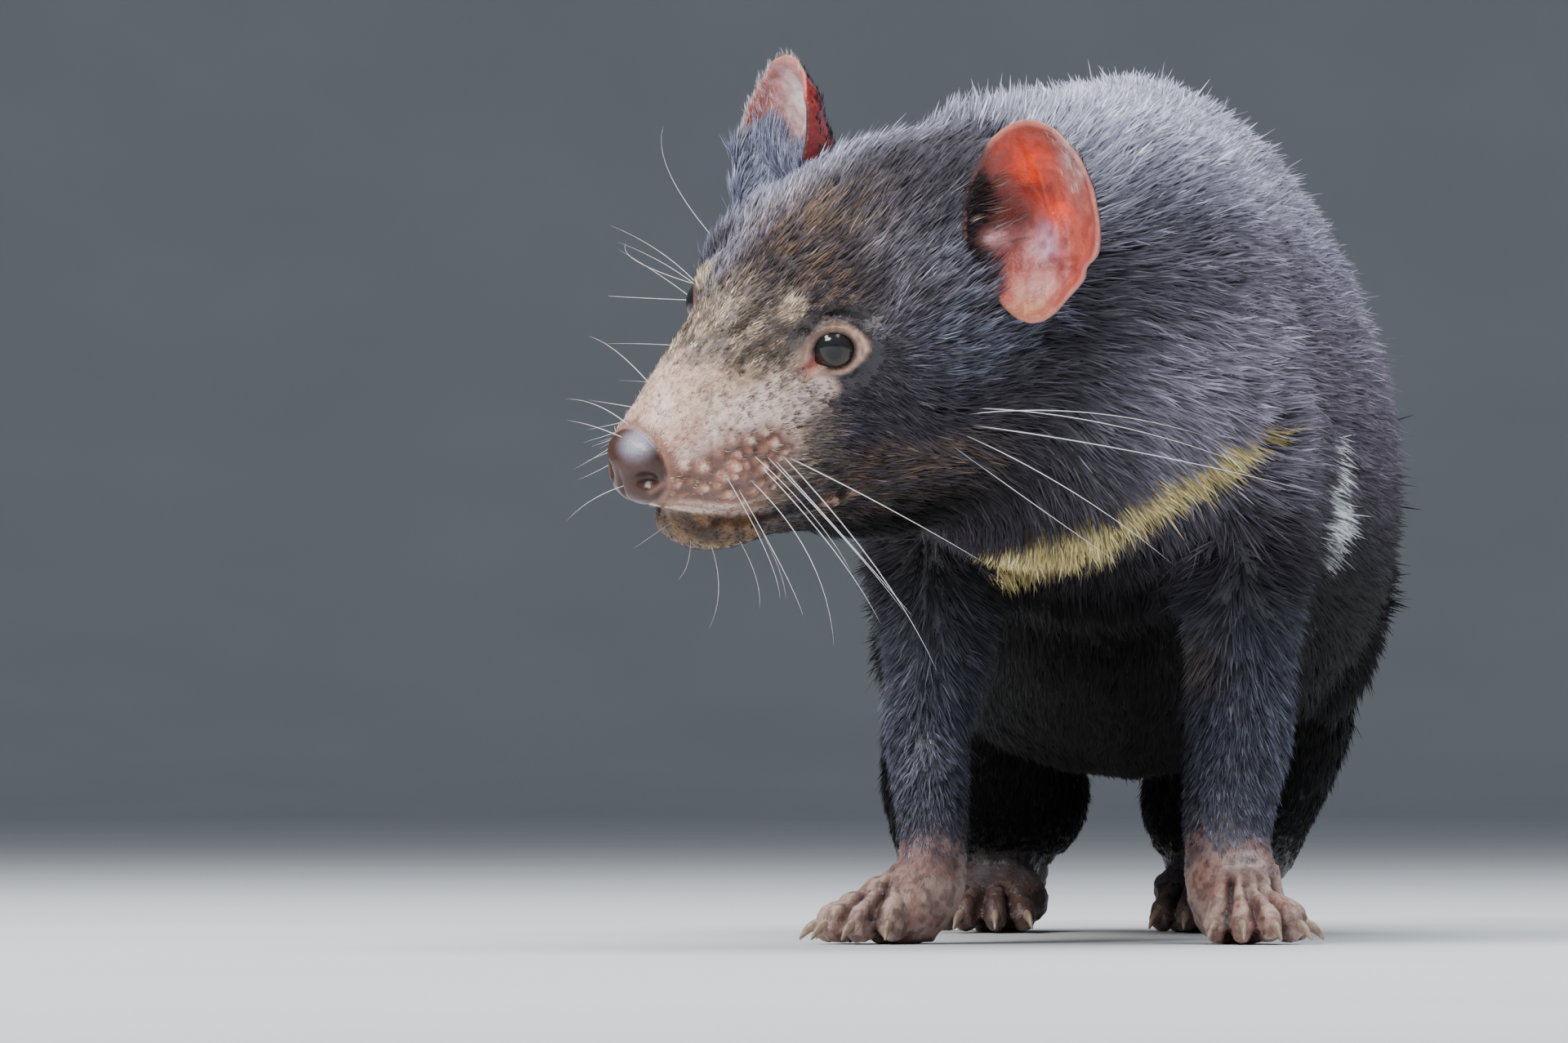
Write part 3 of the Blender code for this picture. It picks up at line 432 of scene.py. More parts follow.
def skin_colour(points, normals):
    """The colour of the skin at each point: dark under the coat, pink and tan where it is bare."""
    places = to_head(points)
    fine = mottle(points, 0.0020)
    broad = mottle(points, 0.008)
    face = mixed(SKIN_PINK, SKIN_PALE, eased(1.7 * broad - 0.35))
    bridge = eased((places[:, 2] + 34) / 16)
    face = mixed_rows(face, mixed((0.58, 0.39, 0.28), (0.80, 0.57, 0.46), broad), 0.8 * bridge)
    face = mixed_rows(face, SKIN_RED, 0.35 * eased((fine - 0.55) * 4))
    face = mixed_rows(face, (0.88, 0.70, 0.64), 0.75 * spots(places, (((24, 74, -27), 9.0), ((22, 84, -29), 6.0))))
    lines = mottle(places * (0.006, 0.0012, 0.006) + 0.2, 0.0065)
    face = mixed_rows(face, (0.20, 0.115, 0.075), 0.55 * bridge * eased((lines - 0.55) * 6) * eased((104 - places[:, 1]) / 14))
    face = mixed_rows(face, (0.84, 0.64, 0.60), 0.6 * spots(places, (((28, 65, -25), 6.0),)))
    face = mixed_rows(face, (0.80, 0.64, 0.50), 0.8 * spots(places, (((21, 65, -2.5), 5.0),)))
    pad, height = pad_relief(places)
    # the pads' red-brown skin, deepened between the knobs as painted shade, with painted highlights on the knobs' tops
    face = mixed_rows(face, (0.13, 0.050, 0.034), 0.90 * pad)
    face = mixed_rows(face, mixed((0.40, 0.20, 0.14), (0.34, 0.14, 0.09), broad), pad * eased(height * 2.4 - 0.2))
    face = mixed_rows(face, mixed((0.88, 0.70, 0.62), (0.70, 0.46, 0.36), fine), pad * eased(height * 1.9 - 0.8))
    around = np.linalg.norm((places - NOSE) / (13.6, 9.5, 12.5), axis=1)
    face = mixed_rows(face, SKIN_RED, 0.8 * np.exp(-(((around - 1.12) / 0.13) ** 2)))
    lip = distance_to_path(places, [p + np.array((0, 0, 3.2)) for p in np.array(MOUTH, float)])
    other = distance_to_path(places, [p * (-1, 1, 1) + np.array((0, 0, 3.2)) for p in np.array(MOUTH, float)])
    face = mixed_rows(face, SKIN_LIP, 0.85 * np.exp(-((np.minimum(lip, other) / 3.4) ** 2)))
    jaw = eased((mouth_height(places) + 0.5) / 1.5)
    stripes = mottle(np.stack([places[:, 0] * 1.0, places[:, 1] * 1.0, places[:, 2] * 0.22], axis=1), 2.1)
    chin = mixed((0.19, 0.095, 0.035), (0.060, 0.030, 0.014), eased((stripes - 0.40) * 2.5))
    rims = [distance_to_path(places, [mirrored(p, side) for p in CHIN_RIM]) for side in (1, -1)]
    chin = mixed_rows(chin, SKIN_RIM, 0.85 * np.exp(-((np.minimum(*rims) / 2.6) ** 2)))
    face = face * (1 - jaw[:, None]) + chin * jaw[:, None]
    for side in (1, -1):
        face = eye_colours(face, places, side)
        # a dark line along the mouth: painted shade in its slit
        off = distance_to_path(places, [mirrored(place, side) for place in MOUTH])
        face = mixed_rows(face, SKIN_DARK, 0.95 * np.exp(-((off / 1.15) ** 2)))
        # painted shade in the wrinkle running from the eye towards the nose
        off = distance_to_path(places, [mirrored(place, side) for place in WRINKLE])
        face = mixed_rows(face, SKIN_DARK, 0.65 * np.exp(-((off / 0.45) ** 2)))
        off = distance_to_path(places, [mirrored(place, side) for place in FOLD])
        face = mixed_rows(face, (0.62, 0.36, 0.25), 0.85 * np.exp(-((off / 2.4) ** 2)))
    nose = mixed((0.040, 0.016, 0.012), (0.095, 0.040, 0.027), broad)
    glint = np.linalg.norm((places - (4, 116, -29)) / (9, 8, 6.5), axis=1)
    nose = mixed_rows(nose, (0.42, 0.43, 0.54), 0.66 * (1 - eased((glint - 0.10) / 0.95)))
    share = nose_share(places)[:, None]
    face = face * (1 - share) + nose * share
    for side in (1, -1):
        # the nostrils painted dark: painted shade in their hollows
        pit = np.linalg.norm((places - mirrored(NOSTRIL, side)) / (3.5, 3.7, 1.9), axis=1)
        face = mixed_rows(face, (0.010, 0.005, 0.005), 1 - eased((pit - 0.72) / 0.4))
        off = distance_to_path(places, [mirrored(place, side) for place in NOSTRIL_RIM])
        face = mixed_rows(face, (0.30, 0.16, 0.12), 0.6 * np.exp(-((off / 0.95) ** 2)))
    paw = mixed(PAW_COLOUR, PAW_PALE, 0.6 * eased(1.8 * broad - 0.4))
    paw = mixed_rows(paw, (0.60, 0.40, 0.33), 0.85 * joint_share(points))
    paw = mixed_rows(paw, (0.30, 0.12, 0.085), 0.5 * eased((mottle(points, 0.006) - 0.45) * 4))
    paw = mixed_rows(paw, (0.075, 0.035, 0.030), 0.55 * eased((fine - 0.50) * 4))
    # painted shade in the clefts between the toes
    paw = mixed_rows(paw, (0.035, 0.016, 0.014), 0.95 * groove_share(points))
    # the hind paws darkened: painted shade under the body
    hind = eased(((points - SHIFT)[:, 1] - 0.12) / 0.05)
    paw = mixed_rows(paw, (0.050, 0.030, 0.026), 0.85 * hind)
    bare = np.where((head_share(points) > 0.01)[:, None], face, paw)
    share = bare_share(points)
    # the skin under the coat takes the coat's colours, painted sheen included, darkened as painted shade beneath the
    # hair
    hidden = coat_colour(points, normals) * 0.55
    return hidden * (1 - share[:, None]) + bare * share[:, None]


def eye_colours(face, places, side):
    """The lids' colours: a dark edge, tan and cream lids, a pink inner corner and creases darkened with painted shade.
    """
    offset, reach, turn = lid_offset(places, side)
    near = (reach < 15)
    limit = lid_limit(turn)
    lid = near * (1 - eased((offset - limit) / 0.22))
    pale = eased((offset - 1.06) / 0.10) * (1 - eased((offset - limit + 0.04) / 0.14))
    upper = np.exp(-(((turn - 80) / 60) ** 2))
    behind = np.exp(-(((np.abs(turn) - 180) / 50) ** 2))
    tone = mixed(LID_TAN, (0.40, 0.21, 0.16), pale * (1 - 0.85 * upper))
    tone = tone * (1 - (pale * behind)[:, None]) + np.array((0.62, 0.41, 0.29)) * (pale * behind)[:, None]
    tone = tone * (0.45 + 1.0 * mottle(places, 1.1))[:, None]
    face = face * (1 - 0.9 * lid[:, None]) + tone * 0.9 * lid[:, None]
    face = mixed_rows(face, (0.20, 0.10, 0.060), near * upper * 0.75 * np.exp(-(((offset - 1.14) / 0.12) ** 2)))
    # painted shade in the fold above the upper lid
    fold = np.exp(-(((turn - 48) / 34) ** 2)) * np.exp(-(((offset - 1.20) / 0.11) ** 2))
    face = mixed_rows(face, (0.075, 0.042, 0.036), 0.75 * near * fold)
    corner = np.exp(-(((turn - TEAR_TURN) / 14) ** 2)) * (1 - eased((offset - 1.02) / 0.20))
    rim = near * (1 - eased((offset - 1.01) / 0.07))
    face = mixed_rows(face, SKIN_DARK, rim)
    face = mixed_rows(face, (0.50, 0.15, 0.12), 0.85 * near * corner)
    # painted shade along the crease in front of and above the eye
    off = distance_to_path(places, [mirrored(place, side) for place in CREASE])
    return mixed_rows(face, SKIN_DARK, 0.95 * np.exp(-((off / 1.7) ** 2)))


def mouth_height(places):
    """How far a place is below the mouth's line, in mm."""
    path = np.array(MOUTH, float)
    return np.interp(-places[:, 1], -path[:, 1], path[:, 2]) - places[:, 2]


def toe_forms():
    """The toes' joints, as points and radii, and the clefts between the toes, as ends, in metres."""
    joints, clefts = [], []
    for side, foot, turn, hind in FEET:
        toes = HIND_TOES if hind else FRONT_TOES
        base = SHIFT + np.array((*foot, 0))
        angles = [math.radians(side * (turn + spread)) for spread, reach in toes]
        ways = [np.array((math.sin(a), -math.cos(a), 0)) for a in angles]
        for way, (spread, reach) in zip(ways, toes):
            for back, up, size in ((3.4, 4.8, 4.5), (10.5, 8.6, 4.6), (17.5, 11.0, 4.6)):
                joints.append((base + way * (reach - back) * MM + np.array((0, 0, up * MM)), size * MM))
        for k in range(len(toes) - 1):
            way = unit(ways[k] + ways[k + 1])
            reach = min(toes[k][1], toes[k + 1][1])
            clefts.append((base + way * (reach - 18) * MM, base + way * (reach + 4) * MM))
    return joints, clefts


def groove_share(points):
    """1 in the clefts between the toes, fading up the paw."""
    low = np.flatnonzero((points - SHIFT)[:, 2] < 0.026)
    flat = points[low] * (1, 1, 0)
    total = np.zeros(len(points))
    for near, far in toe_forms()[1]:
        span = far - near
        share = np.clip((flat - near) @ span / (span @ span), 0, 1)
        off = np.linalg.norm(flat - near - share[:, None] * span, axis=1)
        total[low] = np.maximum(total[low], np.exp(-((off / (1.35 * MM)) ** 2)) * eased(share / 0.45))
    return total * (1 - eased(((points - SHIFT)[:, 2] - 0.018) / 0.006))


def joint_share(points):
    """1 on the knuckles."""
    low = np.flatnonzero((points - SHIFT)[:, 2] < 0.024)
    flat = points[low] * (1, 1, 0)
    total = np.zeros(len(points))
    for place, size in toe_forms()[0]:
        off = np.linalg.norm(flat - place * (1, 1, 0), axis=1) / (0.85 * size)
        total[low] = np.maximum(total[low], 1 - np.minimum(off, 1) ** 2)
    return total


def pad_relief(places):
    """1 on the whisker pads, and the height of their knobs from 0 to 1."""
    side_on = eased((np.abs(places[:, 0]) - 6) / 4)
    top = np.interp(places[:, 1], (70, 80, 95, 112), (-44, -29, -30, -33))
    line = -mouth_height(places)
    inside = eased((top - places[:, 2]) / 7) * eased((line - 4.0) / 3)
    inside = inside * eased((places[:, 1] - 70) / 9) * eased((114 - places[:, 1]) / 4) * side_on
    height = np.zeros(len(places))
    for forward, up, size, full in KNOBS:
        off = ((places[:, 1] - forward) / size) ** 2 + ((places[:, 2] - up) / (size * 0.85)) ** 2
        height = np.maximum(height, full * np.exp(-off))
    return inside, height


def knob_places():
    """The knobs of a whisker pad: forward, up, radius in mm, and height."""
    draw = np.random.default_rng(5)
    made = [(107.5, -36.5, 2.6, 1.0), (103.0, -38.5, 2.4, 0.95)]
    for row in range(7):
        for column in range(10):
            forward = 73 + column * 4.0 + 2.0 * (row % 2) + draw.normal(0, 0.9)
            up = -30.5 - row * 3.7 + draw.normal(0, 0.8)
            size = draw.uniform(1.5, 2.4)
            full = draw.uniform(0.35, 1.0)
            if math.hypot(forward - 105, up + 37.5) > 4.5:
                made.append((forward, up, size, full))
    return made


KNOBS = knob_places()


# Mesh helpers

def numbers(items, what, width):
    """One kind of number of all the items, as rows."""
    values = np.empty(len(items) * width, np.float32)
    items.foreach_get(what, values)
    return values.reshape(-1, width).astype(float)


def set_points(mesh, points):
    """Moves a mesh's points."""
    mesh.vertices.foreach_set("co", np.ascontiguousarray(points, np.float32).ravel())
    mesh.update()


def new_object(name, mesh, *materials):
    """An object in the scene with its materials."""
    made = bpy.data.objects.new(name, mesh)
    bpy.context.scene.collection.objects.link(made)
    for material in materials:
        mesh.materials.append(material)
    return made


def applied(thing):
    """Gives the object the mesh that its modifiers make."""
    graph = bpy.context.evaluated_depsgraph_get()
    mesh = bpy.data.meshes.new_from_object(thing.evaluated_get(graph))
    thing.modifiers.clear()
    thing.data = mesh
    return thing


def tinted(mesh, colours, name="tint"):
    """Stores a colour for each point of the mesh."""
    layer = mesh.color_attributes.new(name, "FLOAT_COLOR", "POINT")
    full = np.ones((len(colours), 4), np.float32)
    full[:, :3] = np.clip(colours, 0, 1)
    layer.data.foreach_set("color", full.ravel())


def thinned(thing, share, spare):
    """The same surface with only a share of its triangles left where the spare share is 1."""
    group = thing.vertex_groups.new(name="spare")
    full = np.flatnonzero(spare > 0.5)
    group.add([int(i) for i in full], 1.0, "REPLACE")
    fewer = thing.modifiers.new("fewer", "DECIMATE")
    fewer.ratio = 1 - (1 - share) * float(np.mean(spare > 0.5))
    fewer.vertex_group = "spare"
    fewer.use_collapse_triangulate = True
    applied(thing)
    thing.vertex_groups.clear()
    return thing


# The skin

def flesh():
    """The frame's flesh as one mesh, swollen so that its pieces meet, with closed lids and round toes."""
    work = bmesh.new()
    names = []
    for name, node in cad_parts.items():
        if not any(word in name for word in ("claw", "_eye", "_ear")):
            work.from_mesh(node.data)
            names.append(name)
    bmesh.ops.remove_doubles(work, verts=work.verts, dist=1e-6)
    work.normal_update()
    for vert in work.verts:
        vert.co += vert.normal * SWELL
    balls = []
    for side in (1, -1):
        place, inward = mirrored(EYE_PLACE, side), mirrored(EYE_LOOK, side) * 4.5
        balls.append((from_head(place), (EYE_RADIUS + LID_THICK) * MM))
        balls.append((from_head(place - inward), 11.4 * MM))
    plain = ball_mesh()
    for place, size in balls + toe_forms()[0]:
        ball = plain.copy()
        ball.transform(Matrix.Translation(place) @ Matrix.Scale(size + SWELL, 4))
        work.from_mesh(ball)
    mesh = bpy.data.meshes.new("skin")
    work.to_mesh(mesh)
    work.free()
    return new_object("skin", mesh), names


def ball_mesh(around=48, rings=32):
    """A ball with a radius of one."""
    mesh = bpy.data.meshes.new("ball")
    work = bmesh.new()
    bmesh.ops.create_uvsphere(work, u_segments=around, v_segments=rings, radius=1)
    work.to_mesh(mesh)
    work.free()
    return mesh


def remeshed(thing, voxel, rounds):
    """The surface made anew at a voxel's size, and smoothed."""
    fuse = thing.modifiers.new("fuse", "REMESH")
    fuse.mode = "VOXEL"
    fuse.voxel_size = voxel
    blend = thing.modifiers.new("blend", "SMOOTH")
    blend.factor = 0.5
    blend.iterations = rounds
    return applied(thing)


def refined(thing, chosen):
    """Halves the size of the faces around the chosen points."""
    work = bmesh.new()
    work.from_mesh(thing.data)
    work.verts.ensure_lookup_table()
    keep = [vert.index for vert in work.verts]
    flags = chosen
    edges = [e for e in work.edges if flags[e.verts[0].index] and flags[e.verts[1].index]]
    bmesh.ops.subdivide_edges(work, edges=edges, cuts=1, use_grid_fill=True)
    bmesh.ops.triangulate(work, faces=[f for f in work.faces if len(f.verts) > 4])
    mesh = bpy.data.meshes.new("skin")
    work.to_mesh(mesh)
    work.free()
    thing.data = mesh
    return thing


def relaxed(mesh, chosen, rounds, factor=0.5):
    """Smooths the chosen points of a mesh."""
    pairs = np.empty(len(mesh.edges) * 2, np.int32)
    mesh.edges.foreach_get("vertices", pairs)
    pairs = pairs.reshape(-1, 2)
    pairs = pairs[chosen[pairs[:, 0]] | chosen[pairs[:, 1]]]
    points = numbers(mesh.vertices, "co", 3)
    count = len(points)
    degree = np.bincount(pairs.ravel(), minlength=count)
    moved = chosen & (degree > 0)
    for _ in range(rounds):
        total = np.zeros_like(points)
        for axis in range(3):
            total[:, axis] = np.bincount(pairs[:, 0], points[pairs[:, 1], axis], count)
            total[:, axis] += np.bincount(pairs[:, 1], points[pairs[:, 0], axis], count)
        mean = total[moved] / degree[moved][:, None]
        points[moved] += factor * (mean - points[moved])
    set_points(mesh, points)


def shape_lids(places):
    """Opens the lids over the eyes, with a soft edge and a crease above them."""
    for side in (1, -1):
        centre = mirrored(EYE_PLACE, side)
        offset, reach, turn = lid_offset(places, side)
        fore, up, out = eye_axes(side)
        away = places - centre
        near = (reach < 16) & (away @ out > -2)
        ways = away[near] / reach[near][:, None]
        rel, old = offset[near], reach[near]
        inner = EYE_RADIUS - 1.3
        edge = EYE_RADIUS + 0.45
        radius = np.where(rel < 0.97, inner, inner + (edge - inner) * eased((rel - 0.97) / 0.05))
        radius = radius + np.maximum(old - edge, 0) * eased((rel - 1.0) / 0.16)
        radius = np.where(rel > 1.16, old, radius)
        upper = np.exp(-(((turn[near] - 88) / 62) ** 2))
        lower = np.exp(-(((turn[near] + 85) / 55) ** 2))
        behind = np.exp(-(((np.abs(turn[near]) - 180) / 45) ** 2))
        past = eased((rel - 1.15) / 0.1)
        radius -= past * 1.20 * (upper + 0.6 * behind) * np.exp(-(((rel - 1.92) / 0.12) ** 2))
        radius += past * 0.75 * (upper + 0.6 * behind) * np.exp(-(((rel - 1.52) / 0.20) ** 2))
        radius -= past * 0.35 * upper * np.exp(-(((rel - 1.28) / 0.06) ** 2))
        radius -= past * 0.70 * lower * np.exp(-(((rel - 1.66) / 0.11) ** 2))
        radius += past * 0.45 * lower * np.exp(-(((rel - 1.34) / 0.15) ** 2))
        places[near] = centre + ways * radius[:, None]


def pushed(places, ways, where, depth, size):
    """Moves the places near a point inwards, or outwards where the depth is below 0."""
    off = np.linalg.norm((places - np.array(where)) / np.array(size), axis=1)
    places -= ways * (depth * np.exp(-(off**2)))[:, None]


def furrow(places, ways, path, depth, width):
    """Presses a line into the skin along a path."""
    off = distance_to_path(places, path)
    places -= ways * (depth * np.exp(-((off / width) ** 2)))[:, None]


def shape_muzzle(places, ways):
    """The mouth, the lips, the nose pad with its nostrils, the whisker pads and the wrinkles."""
    inside, height = pad_relief(places)
    low = mouth_height(places)
    stripes = mottle(np.stack([places[:, 0], places[:, 1], places[:, 2] * 0.22], axis=1), 2.1)
    chin = eased((low - 2) / 3) * eased((14 - low) / 5) * eased((places[:, 1] - 78) / 6)
    fine = mottle(places, 1.6) - 0.5
    shape = inside * (2.2 * height - 0.65) + 0.9 * chin * (stripes - 0.5) + 0.35 * fine
    border = np.linalg.norm((places - NOSE) / (13.6, 9.5, 12.5), axis=1)
    shape *= eased((border - 1.0) / 0.1)
    shape *= 1 - bare_by_eye(places)
    places += ways * shape[:, None]
    for side in (1, -1):
        path = [mirrored(place, side) for place in MOUTH]
        off = distance_to_path(places, path)
        above = np.exp(-((distance_to_path(places, [p + (0, 0, 3.1) for p in path]) / 2.0) ** 2))
        below = np.exp(-((distance_to_path(places, [p + (0, 0, -3.1) for p in path]) / 1.9) ** 2))
        shape = 0.75 * above + 0.45 * below - 2.2 * np.exp(-((off / 1.0) ** 2))
        places += ways * shape[:, None]
        pushed(places, ways, mirrored(NOSTRIL, side), 2.8, (2.7, 3.0, 1.5))
        pushed(places, ways, (0, 109, -69), 1.1, (10, 7, 6))
        furrow(places, ways, [mirrored(p, side) for p in NOSTRIL_RIM], -0.4, 1.4)
        furrow(places, ways, [mirrored(p, side) for p in WRINKLE], 0.55, 0.5)
        furrow(places, ways, [mirrored(p, side) for p in CREASE], 1.7, 1.2)
        furrow(places, ways, [mirrored(p, side) for p in FOLD], -1.3, 2.0)
    furrow(places, ways, CHIN_RIM, -0.5, 2.0)
    furrow(places, ways, [mirrored(p, -1) for p in CHIN_RIM], -0.5, 2.0)
    places -= ways * (0.8 * np.exp(-(((border - 1.02) / 0.05) ** 2)))[:, None]
    furrow(places, ways, ((0, 121.5, -36), (0, 120, -44), (0, 116, -50), (0, 112, -52)), 1.0, 0.8)


def skin_piece():
    """Builds the skin and returns it with the frame's nodes it stands for."""
    skin, names = flesh()
    remeshed(skin, SKIN_VOXEL, 5)
    mesh = skin.data
    points = numbers(mesh.vertices, "co", 3)
    normals = numbers(mesh.vertices, "normal", 3)
    points -= normals * (coat_depth(points) + SWELL)[:, None]
    set_points(mesh, points)
    relaxed(mesh, head_share(points) < 0.9, 4)
    places = to_head(numbers(mesh.vertices, "co", 3))
    low = (points - SHIFT)[:, 2] < 0.024
    face = (head_share(points) > 0.5) & ((places[:, 1] > 62) | (near_eye(places) < 19))
    refined(skin, face | low)
    mesh = skin.data
    points = numbers(mesh.vertices, "co", 3)
    places = to_head(points)
    low = (points - SHIFT)[:, 2] < 0.026
    face = (head_share(points) > 0.5) & ((places[:, 1] > 60) | (near_eye(places) < 20))
    relaxed(mesh, face | low, 3)
    places = to_head(numbers(mesh.vertices, "co", 3))
    ways = numbers(mesh.vertices, "normal", 3) @ AXES.T
    local, normal = places[face], ways[face]
    shape_lids(local)
    shape_muzzle(local, normal)
    places[face] = local
    points = from_head(places)
    set_points(mesh, points)
    normals = numbers(mesh.vertices, "normal", 3)
    own = points - SHIFT
    paws = 1 - eased((own[:, 2] - 0.030) / 0.012)
    folds = 0.9 * mottle(points, 0.0032) + 0.5 * mottle(points, 0.0015) - 0.7
    points += normals * (paws * MM * folds)[:, None]
    shape = 1.1 * joint_share(points) * eased(normals[:, 2] + 0.6) - 2.6 * groove_share(points)
    points += normals * (MM * shape)[:, None]
    set_points(mesh, points)
    bare = bare_share(points)
    spare = (bare < 0.02) & ~face & (own[:, 2] > 0.05)
    thinned(skin, BODY_SHARE, spare)
    return skin, names


def growth(skin):
    """A lighter copy of the skin, unwrapped, that the coat grows on: corners, normals and their places."""
    proxy = new_object("proxy", skin.data.copy())
    fewer = proxy.modifiers.new("fewer", "DECIMATE")
    fewer.ratio = 0.16
    applied(proxy)
    bpy.context.view_layer.objects.active = proxy
    for thing in bpy.context.selected_objects:
        thing.select_set(False)
    proxy.select_set(True)
    bpy.ops.object.mode_set(mode="EDIT")
    bpy.ops.mesh.select_all(action="SELECT")
    bpy.ops.uv.smart_project(angle_limit=math.radians(75), island_margin=0.002)
    bpy.ops.object.mode_set(mode="OBJECT")
    mesh = proxy.data
    mesh.calc_loop_triangles()
    corners = numbers(mesh.loop_triangles, "vertices", 3).astype(int)
    loops = numbers(mesh.loop_triangles, "loops", 3).astype(int)
    points = numbers(mesh.vertices, "co", 3)[corners]
    normals = numbers(mesh.vertices, "normal", 3)[corners]
    places = numbers(mesh.uv_layers.active.data, "uv", 2)[loops]
    bpy.data.objects.remove(proxy)
    return points, normals, places


# The coat

def spread_roots(ground, rate, draw):
    """Roots spread over the ground with so many per square metre, with their normals and unwrap places."""
    points, normals, places = ground
    cross = np.cross(points[:, 1] - points[:, 0], points[:, 2] - points[:, 0])
    weight = np.linalg.norm(cross, axis=1) / 2 * rate(points.mean(axis=1))
    total = np.cumsum(weight)
    count = int(total[-1])
    picks = np.searchsorted(total, (np.arange(count) + draw.random(count)) * total[-1] / count)
    picks = np.minimum(picks, len(points) - 1)
    share = draw.random((count, 2))
    over = share.sum(axis=1) > 1
    share[over] = 1 - share[over]
    weights = np.column_stack([1 - share.sum(axis=1), share])[:, :, None]
    return (
        (points[picks] * weights).sum(axis=1),
        unit((normals[picks] * weights).sum(axis=1)),
        (places[picks] * weights).sum(axis=1),
    )


def strand_mesh(name, lines, sides, widths, tints, places, facing):
    """A mesh of tapered strands from their middle lines, side ways, widths, colours and unwrap places."""
    count, rows = lines.shape[:2]
    body = rows - 1
    along = unit(lines[:, -1] - lines[:, 0])
    flat = unit(np.cross(sides, along))
    out = np.where(np.sum(flat * facing, axis=1) < 0, -1, 1)[:, None]
    sides, flat = sides * out, flat * out
    left = lines[:, :body] - sides[:, None] * widths[:, :body, None] / 2
    right = lines[:, :body] + sides[:, None] * widths[:, :body, None] / 2
    pairs = np.stack([left, right], axis=2).reshape(count, 2 * body, 3)
    verts = np.concatenate([pairs, lines[:, body:]], axis=1)
    per = 2 * body + 1
    quads = [[2 * r, 2 * r + 1, 2 * r + 3, 2 * r + 2] for r in range(body - 1)]
    order = np.array([i for quad in quads for i in quad] + [2 * body - 2, 2 * body - 1, 2 * body])
    loops = (np.arange(count)[:, None] * per + order).ravel()
    starts = np.array([4 * r for r in range(body)])
    starts = (np.arange(count)[:, None] * len(order) + starts).ravel()
    mesh = bpy.data.meshes.new(name)
    mesh.vertices.add(count * per)
    mesh.vertices.foreach_set("co", verts.astype(np.float32).ravel())
    mesh.loops.add(len(loops))
    mesh.loops.foreach_set("vertex_index", loops.astype(np.int32))
    mesh.polygons.add(len(starts))
    mesh.polygons.foreach_set("loop_start", starts.astype(np.int32))
    mesh.update(calc_edges=True)
    mesh.shade_smooth()
    # the coat is shaded mostly as the surface that it lies on, which keeps it soft
    turned = unit(facing * NORMAL_SHARE + flat * (1 - NORMAL_SHARE))
    normals = mesh.attributes.new("custom_normal", "FLOAT_VECTOR", "POINT")
    normals.data.foreach_set("vector", np.repeat(turned, per, axis=0).astype(np.float32).ravel())
    colours = np.ones((count, per, 4), np.float32)
    colours[:, : 2 * body, :3] = np.repeat(tints[:, :body], 2, axis=1)
    colours[:, 2 * body, :3] = tints[:, body]
    layer = mesh.color_attributes.new("tint", "FLOAT_COLOR", "POINT")
    layer.data.foreach_set("color", colours.ravel())
    across = np.array([-0.5, 0.5] * body + [0.0])
    upward = np.array([r / body - 0.5 for r in range(body) for _ in (0, 1)] + [0.5])
    patch = places[:, None] + 0.003 * np.stack([across, upward], axis=1)
    unwrap = mesh.uv_layers.new(name="OFBake")
    laid = patch.reshape(-1, 2)[loops]
    unwrap.data.foreach_set("uv", laid.astype(np.float32).ravel())
    return mesh


def strands_of(clumps, draw, spread=1.0 * MM, gather=0.50, rows=3):
    """The strands of all clumps: middle lines, side ways, widths, colours, unwrap places and normals."""
    roots, normals, lies, lengths, widths, lifts, tints, places = clumps
    count = len(roots) * STRANDS
    again = np.repeat(np.arange(len(roots)), STRANDS)
    aside = np.cross(normals, lies)
    reach = spread * np.sqrt(lengths / (10 * MM))
    offset = draw.normal(0, 1, (count, 2)) * reach[again][:, None]
    turn = draw.normal(0, 0.13, count)
    lie = unit(lies[again] + aside[again] * turn[:, None])
    stray = draw.random(count) < 0.03
    length = lengths[again] * draw.uniform(0.70, 1.20, count) * np.where(stray, 1.12, 1)
    lift = lifts[again] + draw.normal(0, 0.07, count) + stray * draw.uniform(0.05, 0.3, count)
    shift = lies[again] * offset[:, :1] + aside[again] * offset[:, 1:]
    lines = np.empty((count, rows, 3))
    for row, step in enumerate(np.linspace(0, 1, rows)):
        rise = np.sin(lift) * (1.5 * step - 0.5 * step * step)
        ahead = np.cos(lift) * step
        middle = roots[again] - normals[again] * 0.4 * MM
        middle = middle + lie * (ahead * length)[:, None] + normals[again] * (rise * length)[:, None]
        lines[:, row] = middle + shift * (1 - gather * step**1.3)
    roll = draw.uniform(-0.8, 0.8, count)
    sides = unit(aside[again] * np.cos(roll)[:, None] + normals[again] * np.sin(roll)[:, None])
    width = widths[again][:, None] * np.array([0.85, 1.0, 0.0]) * draw.uniform(0.65, 1.3, count)[:, None]
    # a random tone for each strand, and 8% of strands lightened as painted highlights
    shade = draw.lognormal(0, 0.28, count)
    shade = np.where(draw.random(count) < 0.08, shade * 1.6, shade)
    tint = tints[again] * shade[:, None]
    # darker at the root and lighter at the tip: painted shade deep in the coat
    along = np.array([0.50, 0.95, 1.25])
    colours = np.clip(tint[:, None] * along[None, :, None], 0, 1)
    return lines, sides, width, colours, places[again], normals[again]


